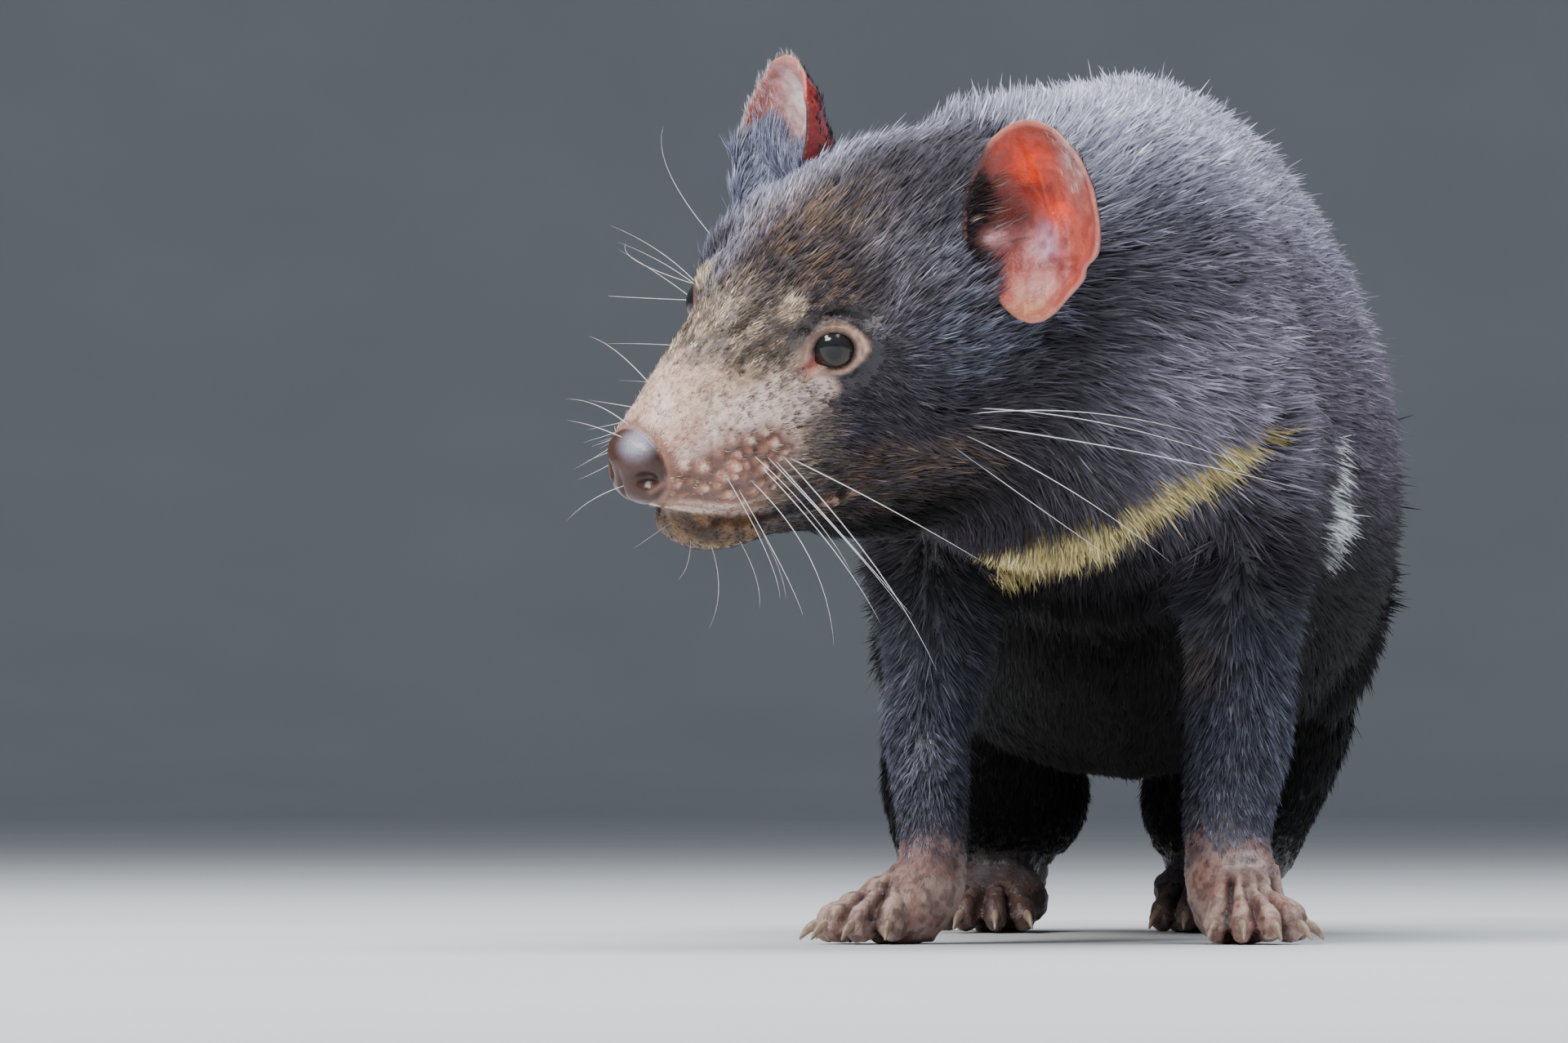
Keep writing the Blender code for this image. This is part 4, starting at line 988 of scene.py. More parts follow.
def coat_rate(points):
    """How thickly the clumps grow at each point, as a share."""
    places = to_head(points)
    length = coat_length(points)
    width = strand_width(points)
    bare = bare_share(points)
    on_head = head_share(points) > 0.01
    thin = np.where(on_head, 1 - 0.55 * bare, 1 - 0.88 * bare)
    thin = thin * (1 - nose_share(places)) * (1 - bare_by_eye(places))
    lips = np.min([distance_to_path(places, [mirrored(p, s) for p in MOUTH]) for s in (1, -1)], axis=0)
    thin = thin * eased((lips - 1.2) / 1.5)
    pad = pad_relief(places)[0]
    low = (points - SHIFT)[:, 2]
    return thin * (1 - 0.75 * pad) * eased((low - 0.006) / 0.006) / (length * width)


def strand_width(points):
    """The width of a strand at its thickest, in metres."""
    wide = 0.20 + 0.026 * coat_length(points) / MM
    return wide * (1 - 0.45 * bare_share(points)) * MM


def coat_pieces(ground, material):
    """The coat in pieces along the body."""
    draw = np.random.default_rng(23)
    points = ground[0]
    cross = np.cross(points[:, 1] - points[:, 0], points[:, 2] - points[:, 0])
    whole = np.sum(np.linalg.norm(cross, axis=1) / 2 * coat_rate(points.mean(axis=1)))
    rate = COAT_STRANDS / STRANDS / whole
    roots, normals, places = spread_roots(ground, lambda at: coat_rate(at) * rate, draw)
    order = np.argsort(roots[:, 1])
    roots, normals, places = roots[order], normals[order], places[order]
    lies = lie_ways(roots, normals)
    lengths = coat_length(roots) * draw.uniform(0.85, 1.15, len(roots))
    widths = strand_width(roots)
    depth = coat_depth(roots)
    lifts = np.arcsin(np.clip(depth / lengths * 1.05, 0.10, 0.75)) + draw.normal(0, 0.05, len(roots))
    tints = coat_colour(roots, normals) * draw.lognormal(0, 0.30, len(roots))[:, None]
    made = []
    share = PIECE_STRANDS // STRANDS
    for number, start in enumerate(range(0, len(roots), share)):
        part = slice(start, start + share)
        clumps = [rows[part] for rows in (roots, normals, lies, lengths, widths, lifts, tints, places)]
        mesh = strand_mesh(f"coat_{number + 1}", *strands_of(clumps, draw))
        made.append(new_object(f"coat_{number + 1}", mesh, material))
    print("coat pieces", len(made), "strands", len(roots) * STRANDS)
    return made


# Ears

def ear_ways(side):
    """The ear's long way, its way towards the head's middle, its face and its middle."""
    long_way = unit(mirrored(EAR_LONG_WAY, side))
    face = mirrored(EAR_FACE, side)
    face = unit(face - long_way * (face @ long_way))
    inward = np.cross(long_way, face) * side
    return long_way, inward, face, mirrored(EAR_MIDDLES[side], side)


def ear_relief(u, v):
    """How far the ear's skin stands out in mm: rim, folds, hollow, knob and lobe, with u up and v inward."""
    share, turn = np.hypot(u, v), np.arctan2(u, v)
    relief = 1.3 * np.exp(-(((share - 0.94) / 0.045) ** 2))
    relief -= 5.5 * np.exp(-(((u + 0.02) / 0.34) ** 2) - ((v - 0.42) / 0.26) ** 2)
    ridge = v + 0.12 - 0.42 * u
    relief += 2.4 * np.exp(-((ridge / 0.10) ** 2) - ((u - 0.12) / 0.46) ** 2)
    relief -= 1.7 * np.exp(-(((u + 0.46 + 0.10 * v) / 0.055) ** 2) - ((v + 0.25) / 0.45) ** 2)
    relief += 1.9 * np.exp(-(((u + 0.70) / 0.19) ** 2) - ((v - 0.05) / 0.32) ** 2)
    relief += 1.3 * np.exp(-(((u + 0.22) / 0.20) ** 2) - ((v + 0.22) / 0.25) ** 2)
    relief += 3.4 * np.exp(-(((u + 0.19) / 0.085) ** 2) - ((v - 0.64) / 0.115) ** 2)
    relief += 0.30 * np.sin(11 * turn + 6 * share) * eased((share - 0.45) / 0.3) * eased((0.92 - share) / 0.1)
    flat = np.stack([u.ravel(), v.ravel(), 0 * u.ravel()], axis=1)
    return relief + 1.3 * (mottle(flat, 0.16) - 0.5).reshape(u.shape)


def ear_points(side, u, v):
    """Points on an ear's front and back in the head's mm, at u along it and v across it."""
    long_way, inward, face, centre = ear_ways(side)
    share = np.hypot(u, v)
    wide = EAR_HALF_WIDTH * (1 - EAR_TOP_NARROWING * u)
    if side > 0:
        wide = wide * (1 - 0.32 * eased((-0.28 - u) / 0.62))
        wide = wide * (1 - 0.11 * np.exp(-(((u + 0.44) / 0.08) ** 2)) * (v < 0) * share)
    flat = long_way * (u * EAR_HALF_LENGTH)[..., None] + inward * (v * wide)[..., None]
    sink = EAR_CUP * (1 - share**2) - EAR_CUP * 0.5
    thick = EAR_THICK * (1 + 0.9 * (1 - share)) * (1 - 0.50 * eased((share - 0.9) / 0.1))
    middle = centre + flat - face * sink[..., None]
    relief = ear_relief(u, v)
    front = middle + face * (thick / 2 + relief)[..., None]
    back = middle - face * (thick / 2 - 0.85 * relief)[..., None]
    return front, back


def ear_piece(side, material, rows=42, around=132):
    """One ear, closed at its rim, with the colours of light coming through it."""
    share, turn = np.meshgrid(np.linspace(0.01, 1, rows), np.arange(around) * 2 * np.pi / around, indexing="ij")
    u, v = np.sin(turn) * share, np.cos(turn) * share
    front, back = ear_points(side, u, v)
    count = rows * around
    points = np.concatenate([front.reshape(-1, 3), back.reshape(-1, 3)])
    faces = []
    for base, turned in ((0, False), (count, True)):
        for row in range(rows - 1):
            for step in range(around):
                after = (step + 1) % around
                a, b = base + row * around + step, base + row * around + after
                ring = (a, b, b + around, a + around)
                faces.append(ring[::-1] if turned else ring)
        ring = tuple(base + step for step in range(around))
        faces.append(ring if turned else ring[::-1])
    last = (rows - 1) * around
    for step in range(around):
        after = (step + 1) % around
        faces.append((last + step, last + after, count + last + after, count + last + step))
    mesh = bpy.data.meshes.new("ear")
    mesh.from_pydata(from_head(points).tolist(), [], faces)
    work = bmesh.new()
    work.from_mesh(mesh)
    bmesh.ops.recalc_face_normals(work, faces=work.faces)
    work.to_mesh(mesh)
    work.free()
    mesh.shade_smooth()
    colours = ear_colour(side, points[:count], u.ravel(), v.ravel())
    tone = np.where((side < 0) & (v.ravel() > 0.3), 1.0, 0.0)[:, None]
    back_side = mixed_rows(colours * 0.45, (0.05, 0.045, 0.055), 0.6) * (1 - tone) + np.array((0.42, 0.05, 0.04)) * tone
    tinted(mesh, np.concatenate([colours, back_side]))
    return new_object("left_ear_skin" if side > 0 else "right_ear_skin", mesh, material)


# patches in each ear, the bright red ones a painted glow of light coming through: place and size along it and inward
# across it, colour, strength
EAR_SPOTS = {
    1: (
        ((0.88, 0.05), (0.16, 0.50), (0.36, 0.10, 0.07), 0.8),
        ((0.52, 0.20), (0.32, 0.36), (0.80, 0.055, 0.02), 0.8),
        ((0.02, 0.58), (0.45, 0.26), (0.16, 0.055, 0.045), 0.85),
        ((0.52, 0.18), (0.22, 0.27), (1.00, 0.060, 0.002), 1.0),
        ((0.07, -0.14), (0.17, 0.22), (1.00, 0.070, 0.003), 1.0),
        ((0.29, 0.16), (0.07, 0.42), (0.20, 0.035, 0.025), 0.75),
        ((-0.08, 0.22), (0.07, 0.26), (0.20, 0.035, 0.030), 0.7),
        ((0.25, -0.62), (0.30, 0.16), (0.60, 0.24, 0.20), 0.8),
        ((0.10, 0.86), (0.60, 0.26), (0.050, 0.028, 0.024), 0.9),
        ((-0.19, 0.64), (0.10, 0.13), (0.88, 0.52, 0.52), 1.0),
        ((-0.25, 0.02), (0.20, 0.26), (0.66, 0.42, 0.56), 0.9),
        ((-0.28, -0.55), (0.34, 0.28), (0.62, 0.11, 0.07), 0.8),
        ((-0.47, -0.20), (0.05, 0.55), (0.22, 0.03, 0.03), 0.85),
        ((-0.68, 0.00), (0.16, 0.30), (0.74, 0.40, 0.36), 0.9),
        ((-0.90, 0.08), (0.14, 0.40), (0.48, 0.20, 0.08), 0.9),
        ((0.60, -0.55), (0.26, 0.24), (0.62, 0.42, 0.40), 0.8),
    ),
    -1: (
        ((0.60, 0.55), (0.50, 0.28), (0.62, 0.045, 0.035), 1.0),
        ((0.92, 0.00), (0.10, 0.70), (0.80, 0.16, 0.07), 0.9),
        ((0.40, -0.20), (0.45, 0.42), (0.98, 0.82, 0.82), 1.0),
        ((-0.50, 0.00), (0.40, 0.80), (0.30, 0.16, 0.14), 0.7),
    ),
}


def ear_colour(side, places, u, v):
    """The ear's inner colours: pink and red, with glowing patches and pale hollows."""
    points = from_head(places)
    share = np.hypot(u, v)
    colour = mixed((0.34, 0.050, 0.036), (0.56, 0.15, 0.12), mottle(points, 0.005))
    for where, size, tone, full in EAR_SPOTS[side]:
        off = np.hypot((u - where[0]) / size[0], (v - where[1]) / size[1])
        colour = mixed_rows(colour, tone, full * np.exp(-(off**2)))
    colour = mixed_rows(colour, (0.26, 0.05, 0.04), 0.22 * eased((mottle(points, 0.0016) - 0.55) * 5))
    colour = mixed_rows(colour, (0.24, 0.030, 0.022), 0.40 * eased((mottle(points, 0.0034) - 0.48) * 4))
    inward = eased((v - 0.55) / 0.2)
    colour = mixed_rows(colour, (0.05, 0.03, 0.03), 0.9 * inward * eased((share - 0.88) / 0.08))
    return mixed_rows(colour, (0.60, 0.28, 0.22), 0.6 * (1 - inward) * eased((share - 0.92) / 0.08))


# hair of the ears: side or 0 for both, front or back, where, how many, length, lie along and inward,
# lift, width, colour
EAR_HAIR = (
    (1, 1, lambda u, v: eased((v - 0.80 + 0.07 * np.sin(9 * u)) / 0.14) * (u < 0.72), 900, 6.0, (0.35, -1), 0.30, 0.26,
     (0.030, 0.024, 0.024)),
    (1, 1, lambda u, v: eased((v - 0.30) / 0.2) * (np.abs(u) < 0.4), 26, 9.0, (0.45, -1), 0.35, 0.13,
     (0.30, 0.22, 0.19)),
    (-1, 1, lambda u, v: eased((0.04 - u + 0.14 * v + 0.1 * np.sin(7 * v)) / 0.2), 2900, 9.0, (1, 0.0), 0.34, 0.30,
     (0.30, 0.32, 0.43)),
    (-1, 1, lambda u, v: eased((-v - 0.60) / 0.25), 220, 4.0, (0.9, -0.2), 0.30, 0.17, (0.72, 0.70, 0.72)),
    (-1, 1, lambda u, v: eased((np.hypot(u, v) - 0.90) / 0.05) * (u > -0.2) * (v < 0.3), 260, 3.0, (0.9, -0.4), 0.25, 0.11,
     (0.62, 0.50, 0.48)),
    (1, 1, lambda u, v: np.exp(-(((u - 0.6) / 0.26) ** 2) - ((v + 0.6) / 0.25) ** 2), 120, 4.5, (0.9, -0.3), 0.3, 0.11,
     (0.80, 0.66, 0.62)),
    (1, -1, lambda u, v: 1.0 * (np.hypot(u, v) < 0.90), 2800, 4.2, (1, 0), 0.22, 0.30, (0.14, 0.13, 0.17)),
    (-1, -1, lambda u, v: (1 - 0.85 * eased((v - 0.25 + u) / 0.3)) * (np.hypot(u, v) < 0.90), 2500, 4.2, (1, 0), 0.22, 0.30, (0.14, 0.13, 0.17)),
)


def ear_clumps(side, rule, draw):
    """The clumps of one kind of ear hair."""
    on_front, where, count, length, lie, lift, width, colour = rule[1:]
    spots_at = draw.uniform(-1, 1, (count * 8, 2))
    u, v = spots_at[:, 0], spots_at[:, 1]
    keep = (np.hypot(u, v) < 0.995) & (draw.random(len(u)) < where(u, v))
    u, v = u[keep][:count], v[keep][:count]
    step = 0.01
    which = 0 if on_front > 0 else 1
    here, up, across = [from_head(ear_points(side, *at)[which]) for at in ((u, v), (u + step, v), (u, v + step))]
    along, inward = (up - here) / step, (across - here) / step
    normals = unit(np.cross(along, inward))
    out = ear_ways(side)[2] @ AXES * on_front
    normals = normals * np.sign(normals @ out)[:, None]
    lies = unit(along * lie[0] + inward * lie[1])
    lies = unit(lies - normals * np.sum(lies * normals, axis=1)[:, None])
    lengths = length * MM * draw.uniform(0.7, 1.2, len(u))
    lifts = lift + draw.normal(0, 0.10, len(u))
    tints = np.array(colour) * draw.lognormal(0, 0.25, len(u))[:, None]
    places = np.stack([0.5 + 0.45 * v, 0.5 + 0.45 * u], axis=1)
    return here, normals, lies, lengths, np.full(len(u), width * MM), lifts, tints, places


def ear_hair(material):
    """All hair of the ears as one piece."""
    draw = np.random.default_rng(31)
    sets = []
    for rule in EAR_HAIR:
        for side in (1, -1):
            if rule[0] in (0, side):
                sets.append(ear_clumps(side, rule, draw))
    clumps = [np.concatenate(rows) for rows in zip(*sets)]
    mesh = strand_mesh("ear_hair", *strands_of(clumps, draw, spread=0.7 * MM, gather=0.4))
    return new_object("ear_hair", mesh, material)


# Eyes, claws and whiskers

def eye_piece(side, material):
    """One eyeball with its cornea, the colours of the iris and the pupil, and a painted reflection at its top."""
    mesh = bpy.data.meshes.new("eye")
    work = bmesh.new()
    bmesh.ops.create_uvsphere(work, u_segments=72, v_segments=54, radius=1)
    work.to_mesh(mesh)
    work.free()
    ways = unit(numbers(mesh.vertices, "co", 3))
    fore, up, out = [way @ AXES for way in eye_axes(side)]
    off = np.degrees(np.arccos(np.clip(ways @ out, -1, 1)))
    radius = EYE_RADIUS - 0.05 + 0.32 * (1 - eased((off - 24) / 18))
    set_points(mesh, from_head(mirrored(EYE_PLACE, side)) + ways * (radius * MM)[:, None])
    streaks = mottle(np.stack([np.degrees(np.arctan2(ways @ up, ways @ fore)), off * 0.25, 0 * off], axis=1), 5)
    colour = mixed((0.003, 0.003, 0.004), (0.030, 0.022, 0.016), eased((off - 15) / 5))
    # a painted reflection of the light above on the cornea's top, streaked and greener towards the nose
    painted_reflection = eased((ways @ up + 0.12) / 0.35) * eased((44 - off) / 10)
    colour = mixed_rows(colour, (0.014, 0.018, 0.026), painted_reflection * (0.25 + 0.75 * streaks))
    green = painted_reflection * eased((ways @ fore) / 0.4)
    colour = mixed_rows(colour, (0.012, 0.016, 0.015), 0.6 * green)
    colour = mixed_rows(colour, (0.008, 0.005, 0.004), eased((off - 38) / 5))
    tinted(mesh, colour)
    mesh.shade_smooth()
    return new_object("left_eye_ball" if side > 0 else "right_eye_ball", mesh, material)


def claw_piece(name, node, material):
    """A smooth claw from the frame's plain one."""
    mesh = node.data.copy()
    work = bmesh.new()
    work.from_mesh(mesh)
    bmesh.ops.remove_doubles(work, verts=work.verts, dist=1e-6)
    work.to_mesh(mesh)
    work.free()
    mesh.materials.clear()
    made = new_object(name, mesh, material)
    smooth = made.modifiers.new("smooth", "SUBSURF")
    smooth.levels = 2
    smooth.render_levels = 2
    applied(made)
    made.data.shade_smooth()
    points = numbers(made.data.vertices, "co", 3)
    normals = numbers(made.data.vertices, "normal", 3)
    set_points(made.data, points + normals * 0.12 * MM)
    return made


def camera_axes():
    """The camera's place, its right, its up and the way it looks."""
    right = np.array((math.cos(CAMERA_TURN), math.sin(CAMERA_TURN), 0))
    ahead = np.array((-math.sin(CAMERA_TURN), math.cos(CAMERA_TURN), 0))
    place = SHIFT - right * CAMERA_ASIDE - ahead * CAMERA_AWAY + np.array((0, 0, CAMERA_HEIGHT))
    look = unit(ahead + np.array((0, 0, math.tan(CAMERA_PITCH))))
    return place, right, np.cross(right, look), look


def seen_at(x, y, depth):
    """The point that shows at a pixel of the photograph, so far from the camera."""
    place, right, up, look = camera_axes()
    way = right * (x - PHOTO_WIDE / 2) / FOCAL + up * (PHOTO_HIGH / 2 - y) / FOCAL + look
    return place + way * depth


def depth_of(point):
    """How far a point is from the camera along its look."""
    place, right, up, look = camera_axes()
    return float((point - place) @ look)


# whiskers: the root's, the bend's and the tip's pixel, how far the tip comes forward in mm, thickness
PAD_WHISKERS = (
    ((958, 558), (1100, 735), (1170, 890), 55, 0.34),
    ((950, 565), (1075, 705), (1175, 825), 60, 0.32),
    ((935, 575), (1040, 700), (1100, 815), 50, 0.30),
    ((920, 590), (995, 690), (1022, 810), 40, 0.28),
    ((965, 560), (1120, 640), (1280, 735), 60, 0.34),
    ((940, 560), (1060, 690), (1135, 790), 52, 0.28),
    ((905, 600), (960, 700), (985, 760), 36, 0.24),
    ((925, 560), (1010, 650), (1060, 740), 45, 0.26),
    ((890, 585), (940, 680), (955, 740), 30, 0.22),
)
CHEEK_WHISKERS = (
    ((1180, 508), (1330, 505), (1480, 535), 45, 0.30),
    ((1185, 520), (1400, 555), (1620, 605), 55, 0.32),
    ((1175, 530), (1310, 600), (1435, 690), 50, 0.30),
    ((1190, 500), (1360, 520), (1540, 575), 50, 0.28),
    ((1165, 545), (1270, 620), (1370, 690), 42, 0.26),
)
CHIN_WHISKERS = (
    ((870, 668), (880, 720), (868, 770), 12, 0.20),
    ((905, 662), (925, 705), (930, 745), 14, 0.20),
    ((845, 660), (842, 690), (828, 712), 10, 0.18),
    ((822, 640), (800, 655), (775, 672), 10, 0.18),
    ((935, 655), (955, 700), (962, 735), 14, 0.20),
)
FAR_WHISKERS = (
    ((848, 345), (835, 240), (812, 155), -10, 0.30),
    ((836, 375), (800, 330), (767, 297), -12, 0.26),
    ((836, 385), (790, 365), (745, 362), -12, 0.24),
    ((795, 470), (757, 432), (722, 412), -14, 0.24),
    ((768, 520), (725, 494), (680, 490), -14, 0.24),
    ((760, 535), (720, 520), (684, 514), -16, 0.22),
    ((762, 596), (722, 614), (690, 643), -12, 0.24),
)


def whisker(line, thick, around=6):
    """The points and faces of one tapered whisker along its line."""
    rows = len(line)
    along = unit(np.gradient(line, axis=0))
    side = unit(np.cross(along, (0.3, 0.5, 0.8)))
    other = np.cross(along, side)
    turns = np.arange(around) * 2 * np.pi / around
    radius = thick / 2 * MM * (1 - np.linspace(0, 1, rows) ** 1.5 * 0.93)
    ring = side[:, None] * np.cos(turns)[:, None] + other[:, None] * np.sin(turns)[:, None]
    points = (line[:, None] + ring * radius[:, None, None]).reshape(-1, 3)
    faces = []
    for row in range(rows - 1):
        for step in range(around):
            after = (step + 1) % around
            a, b = row * around + step, row * around + after
            faces.append((a, b, b + around, a + around))
    faces.append(tuple(range(around))[::-1])
    faces.append(tuple((rows - 1) * around + step for step in range(around)))
    return points, faces


def whisker_line(ground, pixels, forward, rows=14):
    """A whisker's line from its root on the skin through its bend to its tip."""
    root_pixel, bend_pixel, tip_pixel = pixels
    place, right, up, look = camera_axes()
    way = unit(seen_at(*root_pixel, 1.0) - place)
    hit = ground.ray_cast(Vector(place + way * 2.0), Vector(way))[0]
    if hit is None:
        near = seen_at(*root_pixel, CAMERA_AWAY)
        hit = ground.find_nearest(Vector(near))[0]
    root = np.array(hit)
    depth = depth_of(root)
    bend = seen_at(*bend_pixel, depth - 0.45 * forward * MM)
    tip = seen_at(*tip_pixel, depth - forward * MM)
    root = root - unit(bend - root) * 1.5 * MM
    share = np.linspace(0, 1, rows)[:, None]
    middle = 2 * bend - (root + tip) / 2
    line = root * (1 - share) ** 2 + middle * 2 * share * (1 - share) + tip * share**2
    return line


def whisker_piece(ground, material):
    """All the whiskers, those of the left cheek and pad also mirrored onto the right."""
    points, faces, total = [], [], 0
    low, high = [np.array(corner) for corner in cad_box]
    margin = 0.02 * (high - low) + 0.008
    for group, both in ((PAD_WHISKERS, True), (CHEEK_WHISKERS, True), (CHIN_WHISKERS, False), (FAR_WHISKERS, False)):
        for root, bend, tip, forward, thick in group:
            line = whisker_line(ground, (root, bend, tip), forward)
            lines = [line]
            if both:
                lines.append(from_head(to_head(line) * (-1, 1, 1)))
            for each in lines:
                outside = np.any((each < low - margin) | (each > high + margin), axis=1)
                inside = max(4, int(np.argmax(outside)) if outside.any() else len(each))
                made, rings = whisker(each[:inside], thick)
                points.append(made)
                faces += [tuple(i + total for i in ring) for ring in rings]
                total += len(made)
    mesh = bpy.data.meshes.new("whiskers")
    mesh.from_pydata(np.concatenate(points).tolist(), [], faces)
    mesh.shade_smooth()
    return new_object("whiskers", mesh, material)


# Materials

def new_material(name):
    """A material with its node tree and its shader."""
    material = bpy.data.materials.new(name)
    material.use_nodes = True
    return material, material.node_tree.nodes, material.node_tree.links


def tint_nodes(nodes, links, spread, scale, low=0.0):
    """The stored colour, varied by fine noise."""
    tint = nodes.new("ShaderNodeAttribute")
    tint.attribute_name = "tint"
    noise = nodes.new("ShaderNodeTexNoise")
    noise.inputs["Scale"].default_value = scale
    noise.inputs["Detail"].default_value = 3
    place = nodes.new("ShaderNodeTexCoord")
    links.new(place.outputs["Object"], noise.inputs["Vector"])
    ramp = nodes.new("ShaderNodeMapRange")
    ramp.inputs["To Min"].default_value = 1 - spread
    ramp.inputs["To Max"].default_value = 1 + spread
    links.new(noise.outputs["Fac"], ramp.inputs["Value"])
    varied = nodes.new("ShaderNodeVectorMath")
    varied.operation = "SCALE"
    links.new(tint.outputs["Color"], varied.inputs[0])
    links.new(ramp.outputs["Result"], varied.inputs["Scale"])
    return varied.outputs["Vector"], place.outputs["Object"]


def bump_nodes(nodes, links, shader, place, layers):
    """Bumps from layers of noise or cells: kind, scale, depth in mm."""
    normal = None
    for kind, scale, depth in layers:
        texture = nodes.new("ShaderNodeTexNoise" if kind == "noise" else "ShaderNodeTexVoronoi")
        texture.inputs["Scale"].default_value = scale
        links.new(place, texture.inputs["Vector"])
        bump = nodes.new("ShaderNodeBump")
        bump.inputs["Distance"].default_value = depth * MM
        bump.inputs["Strength"].default_value = 1.0
        out = "Fac" if kind == "noise" else "Distance"
        links.new(texture.outputs[out], bump.inputs["Height"])
        if normal is not None:
            links.new(normal, bump.inputs["Normal"])
        normal = bump.outputs["Normal"]
    links.new(normal, shader.inputs["Normal"])


def skin_material():
    """Skin: creased, pored, with a little light inside it."""
    material, nodes, links = new_material("skin")
    shader = nodes["Principled BSDF"]
    colour, place = tint_nodes(nodes, links, 0.25, 900)
    links.new(colour, shader.inputs["Base Color"])
    shader.inputs["Roughness"].default_value = 0.42
    shader.inputs["Subsurface Weight"].default_value = 0.06
    shader.inputs["Subsurface Scale"].default_value = 0.002
    bump_nodes(nodes, links, shader, place, (("noise", 420, 0.5), ("cells", 1300, 0.10), ("noise", 1900, 0.18)))
    return material


def nose_material():
    """The wet nose pad."""
    material, nodes, links = new_material("nose")
    shader = nodes["Principled BSDF"]
    colour, place = tint_nodes(nodes, links, 0.2, 1200)
    links.new(colour, shader.inputs["Base Color"])
    shader.inputs["Roughness"].default_value = 0.34
    shader.inputs["Specular IOR Level"].default_value = 0.35
    shader.inputs["Coat Weight"].default_value = 0.25
    shader.inputs["Coat Roughness"].default_value = 0.16
    bump_nodes(nodes, links, shader, place, (("cells", 1700, 0.05), ("noise", 700, 0.10)))
    return material


def coat_material():
    """Hair with a soft grey sheen."""
    material, nodes, links = new_material("coat")
    shader = nodes["Principled BSDF"]
    colour, place = tint_nodes(nodes, links, 0.30, 260)
    links.new(colour, shader.inputs["Base Color"])
    shader.inputs["Roughness"].default_value = 0.52
    shader.inputs["Specular IOR Level"].default_value = 0.07
    shader.inputs["Sheen Weight"].default_value = 0.02
    shader.inputs["Sheen Roughness"].default_value = 0.4
    shader.inputs["Sheen Tint"].default_value = (0.75, 0.80, 1.0, 1)
    return material


def ear_material():
    """Thin bare skin that light comes through."""
    material, nodes, links = new_material("ear")
    shader = nodes["Principled BSDF"]
    colour, place = tint_nodes(nodes, links, 0.22, 700)
    links.new(colour, shader.inputs["Base Color"])
    shader.inputs["Roughness"].default_value = 0.48
    shader.inputs["Subsurface Weight"].default_value = 0.15
    shader.inputs["Subsurface Scale"].default_value = 0.004
    bump_nodes(nodes, links, shader, place, (("noise", 380, 0.6), ("noise", 1300, 0.2)))
    return material


def eye_material():
    """The wet eyeball."""
    material, nodes, links = new_material("eye")
    shader = nodes["Principled BSDF"]
    colour, place = tint_nodes(nodes, links, 0.35, 1400)
    links.new(colour, shader.inputs["Base Color"])
    shader.inputs["Roughness"].default_value = 0.10
    shader.inputs["Specular IOR Level"].default_value = 0.25
    shader.inputs["Coat Weight"].default_value = 0.40
    shader.inputs["Coat Roughness"].default_value = 0.02
    return material


def plain_material(name, colour, rough, spread, scale, bumps):
    """A material of one colour varied by noise, with bumps."""
    material, nodes, links = new_material(name)
    shader = nodes["Principled BSDF"]
    place = nodes.new("ShaderNodeTexCoord")
    noise = nodes.new("ShaderNodeTexNoise")
    noise.inputs["Scale"].default_value = scale
    links.new(place.outputs["Object"], noise.inputs["Vector"])
    ramp = nodes.new("ShaderNodeValToRGB")
    dark = tuple(c * (1 - spread) for c in colour)
    light = tuple(min(1, c * (1 + spread)) for c in colour)
    ramp.color_ramp.elements[0].color = (*dark, 1)
    ramp.color_ramp.elements[1].color = (*light, 1)
    ramp.color_ramp.elements[0].position = 0.3
    ramp.color_ramp.elements[1].position = 0.7
    links.new(noise.outputs["Fac"], ramp.inputs["Fac"])
    links.new(ramp.outputs["Color"], shader.inputs["Base Color"])
    shader.inputs["Roughness"].default_value = rough
    if bumps:
        bump_nodes(nodes, links, shader, place.outputs["Object"], bumps)
    return material


# The stage, the light and the camera

def stage():
    """A pale round floor that curves up into a low wall far away."""
    work = bmesh.new()
    profile = [(0.02, 0.0), (3.0, 0.0), (12.0, 0.0)]
    profile += [(12 + 3 * math.sin(a), 3 - 3 * math.cos(a)) for a in np.linspace(0.12, math.pi / 2, 12)]
    profile += [(15.0, 7.0)]
    turns = np.arange(96) * 2 * np.pi / 96
    rings = [[work.verts.new((r * math.cos(t), r * math.sin(t), z)) for t in turns] for r, z in profile]
    for low, high in zip(rings, rings[1:]):
        for k in range(len(turns)):
            work.faces.new((low[k - 1], low[k], high[k], high[k - 1]))
    work.faces.new(rings[0])
    bmesh.ops.recalc_face_normals(work, faces=work.faces)
    mesh = bpy.data.meshes.new("floor")
    work.to_mesh(mesh)
    work.free()
    mesh.shade_smooth()
    floor = new_object("floor", mesh, plain_material("floor", (0.66, 0.68, 0.70), 0.8, 0.03, 3, ()))


def area_light(name, place, target, size, power, colour):
    """A soft rectangular light that points at a target."""
    data = bpy.data.lights.new(name, "AREA")
    data.energy = power
    data.shape = "RECTANGLE"
    data.size, data.size_y = size
    data.color = colour
    made = bpy.data.objects.new(name, data)
    bpy.context.scene.collection.objects.link(made)
    made.location = place
    made.rotation_euler = (Vector(target) - Vector(place)).to_track_quat("-Z", "Y").to_euler()


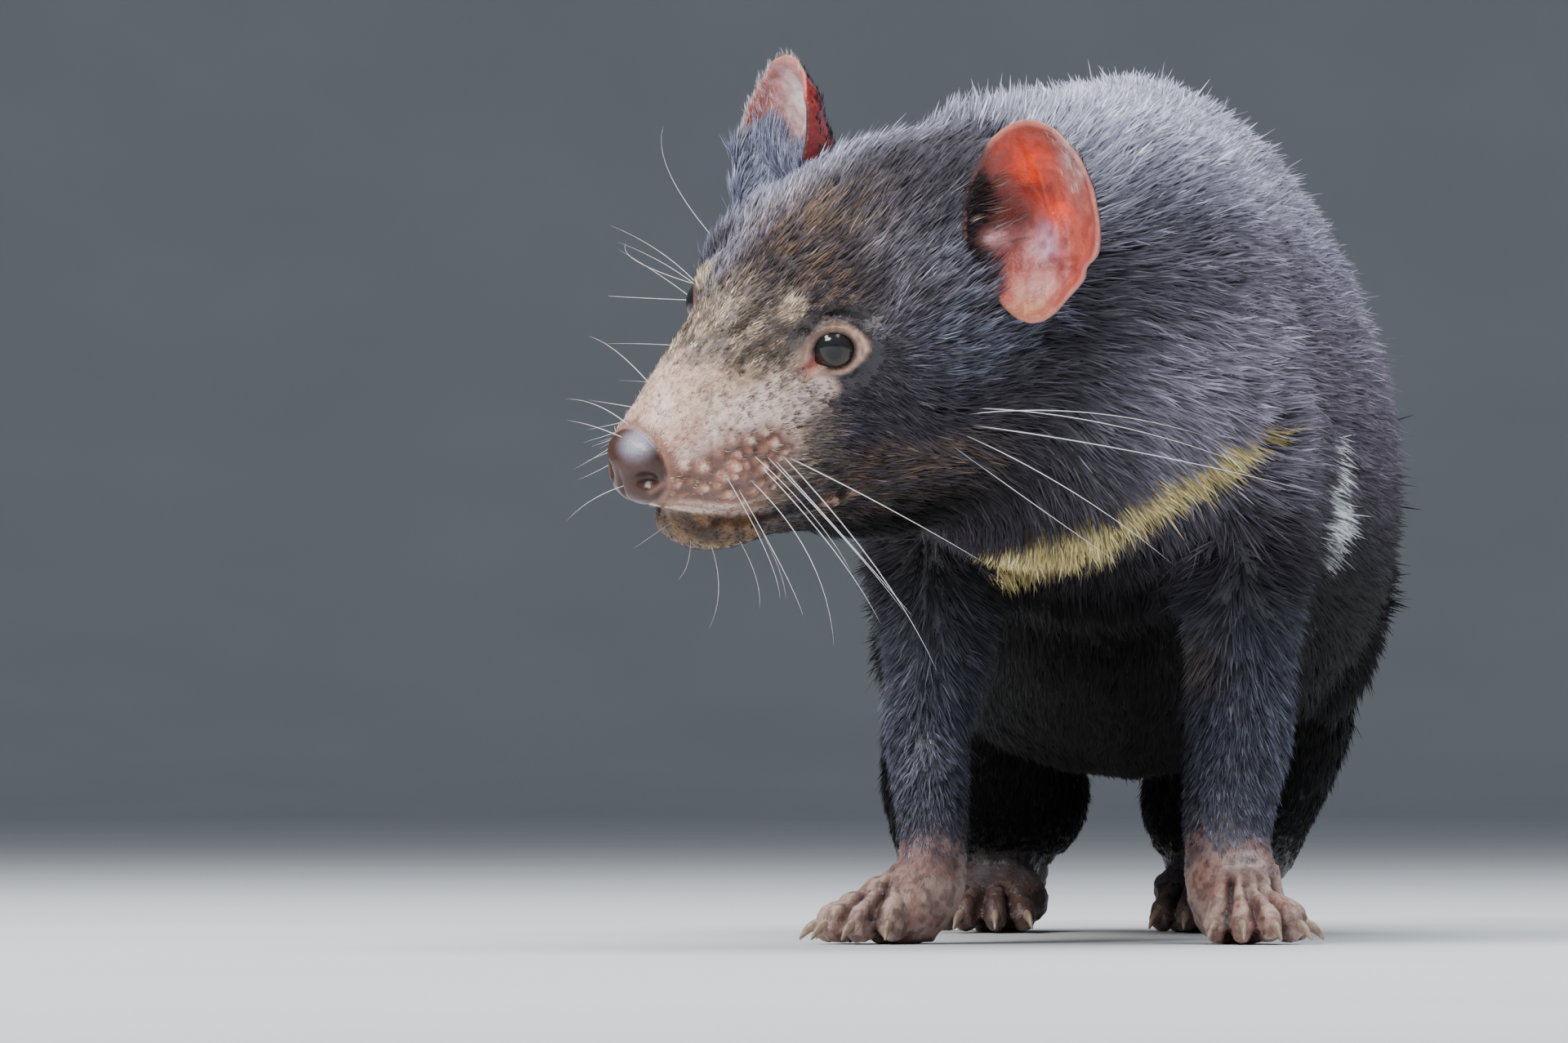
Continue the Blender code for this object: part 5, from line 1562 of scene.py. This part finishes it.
def lights():
    """A broad cool light above, one high in front, and a pale surround."""
    area_light("above", (0.2, -0.1, 2.2), (0, 0, 0.15), (2.4, 2.4), 95, (0.92, 0.96, 1.0))
    area_light("front", (-1.5, -2.1, 2.1), (0, -0.1, 0.15), (1.4, 1.0), 98, (1.0, 0.97, 0.94))
    world = bpy.data.worlds.new("surround")
    bpy.context.scene.world = world
    world.use_nodes = True
    world.node_tree.nodes["Background"].inputs["Color"].default_value = (0.82, 0.88, 1.0, 1)
    world.node_tree.nodes["Background"].inputs["Strength"].default_value = 0.22


def camera():
    """The camera where the photograph was taken from."""
    place, right, up, look = camera_axes()
    data = bpy.data.cameras.new("camera")
    data.sensor_width = 36
    data.lens = FOCAL / PHOTO_WIDE * data.sensor_width
    data.clip_start, data.clip_end = 0.1, 60
    made = bpy.data.objects.new("camera", data)
    bpy.context.scene.collection.objects.link(made)
    turn = Matrix((right, up, -look)).transposed().to_4x4()
    made.matrix_world = Matrix.Translation(place) @ turn
    bpy.context.scene.camera = made


def nose_faces(mesh):
    """Gives the nose pad its own material."""
    centres = to_head(numbers(mesh.polygons, "center", 3))
    wet = (nose_share(centres) > 0.5).astype(np.int32)
    mesh.polygons.foreach_set("material_index", wet)


def main():
    """Builds the visual model around the frame."""
    skin, flesh_names = skin_piece()
    mesh = skin.data
    points = numbers(mesh.vertices, "co", 3)
    tinted(mesh, skin_colour(points, numbers(mesh.vertices, "normal", 3)))
    mesh.materials.clear()
    mesh.materials.append(skin_material())
    mesh.materials.append(nose_material())
    nose_faces(mesh)
    mesh.shade_smooth()
    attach(skin, "root")
    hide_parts(*flesh_names)
    ground = growth(skin)
    hair = coat_material()
    for piece in coat_pieces(ground, hair):
        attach(piece, "root")
    fringe = ear_hair(hair)
    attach(fringe, "root")
    inner = ear_material()
    wet = eye_material()
    for side, hand in ((1, "left"), (-1, "right")):
        ear = ear_piece(side, inner)
        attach(ear, "root")
        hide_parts(hand + "_ear")
        eye = eye_piece(side, wet)
        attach(eye, "root")
        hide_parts(hand + "_eye")
    horn = plain_material("horn", (0.34, 0.245, 0.175), 0.35, 0.30, 500, (("noise", 900, 0.1),))
    for name, node in list(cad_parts.items()):
        if "claw" in name:
            claw = claw_piece(name + "_horn", node, horn)
            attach(claw, "root")
            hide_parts(name)
    surface = BVHTree.FromObject(skin, bpy.context.evaluated_depsgraph_get())
    hairs = plain_material("whisker", (0.78, 0.78, 0.80), 0.35, 0.1, 300, ())
    whiskers = whisker_piece(surface, hairs)
    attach(whiskers, "root")
    stage()
    lights()
    camera()


main()
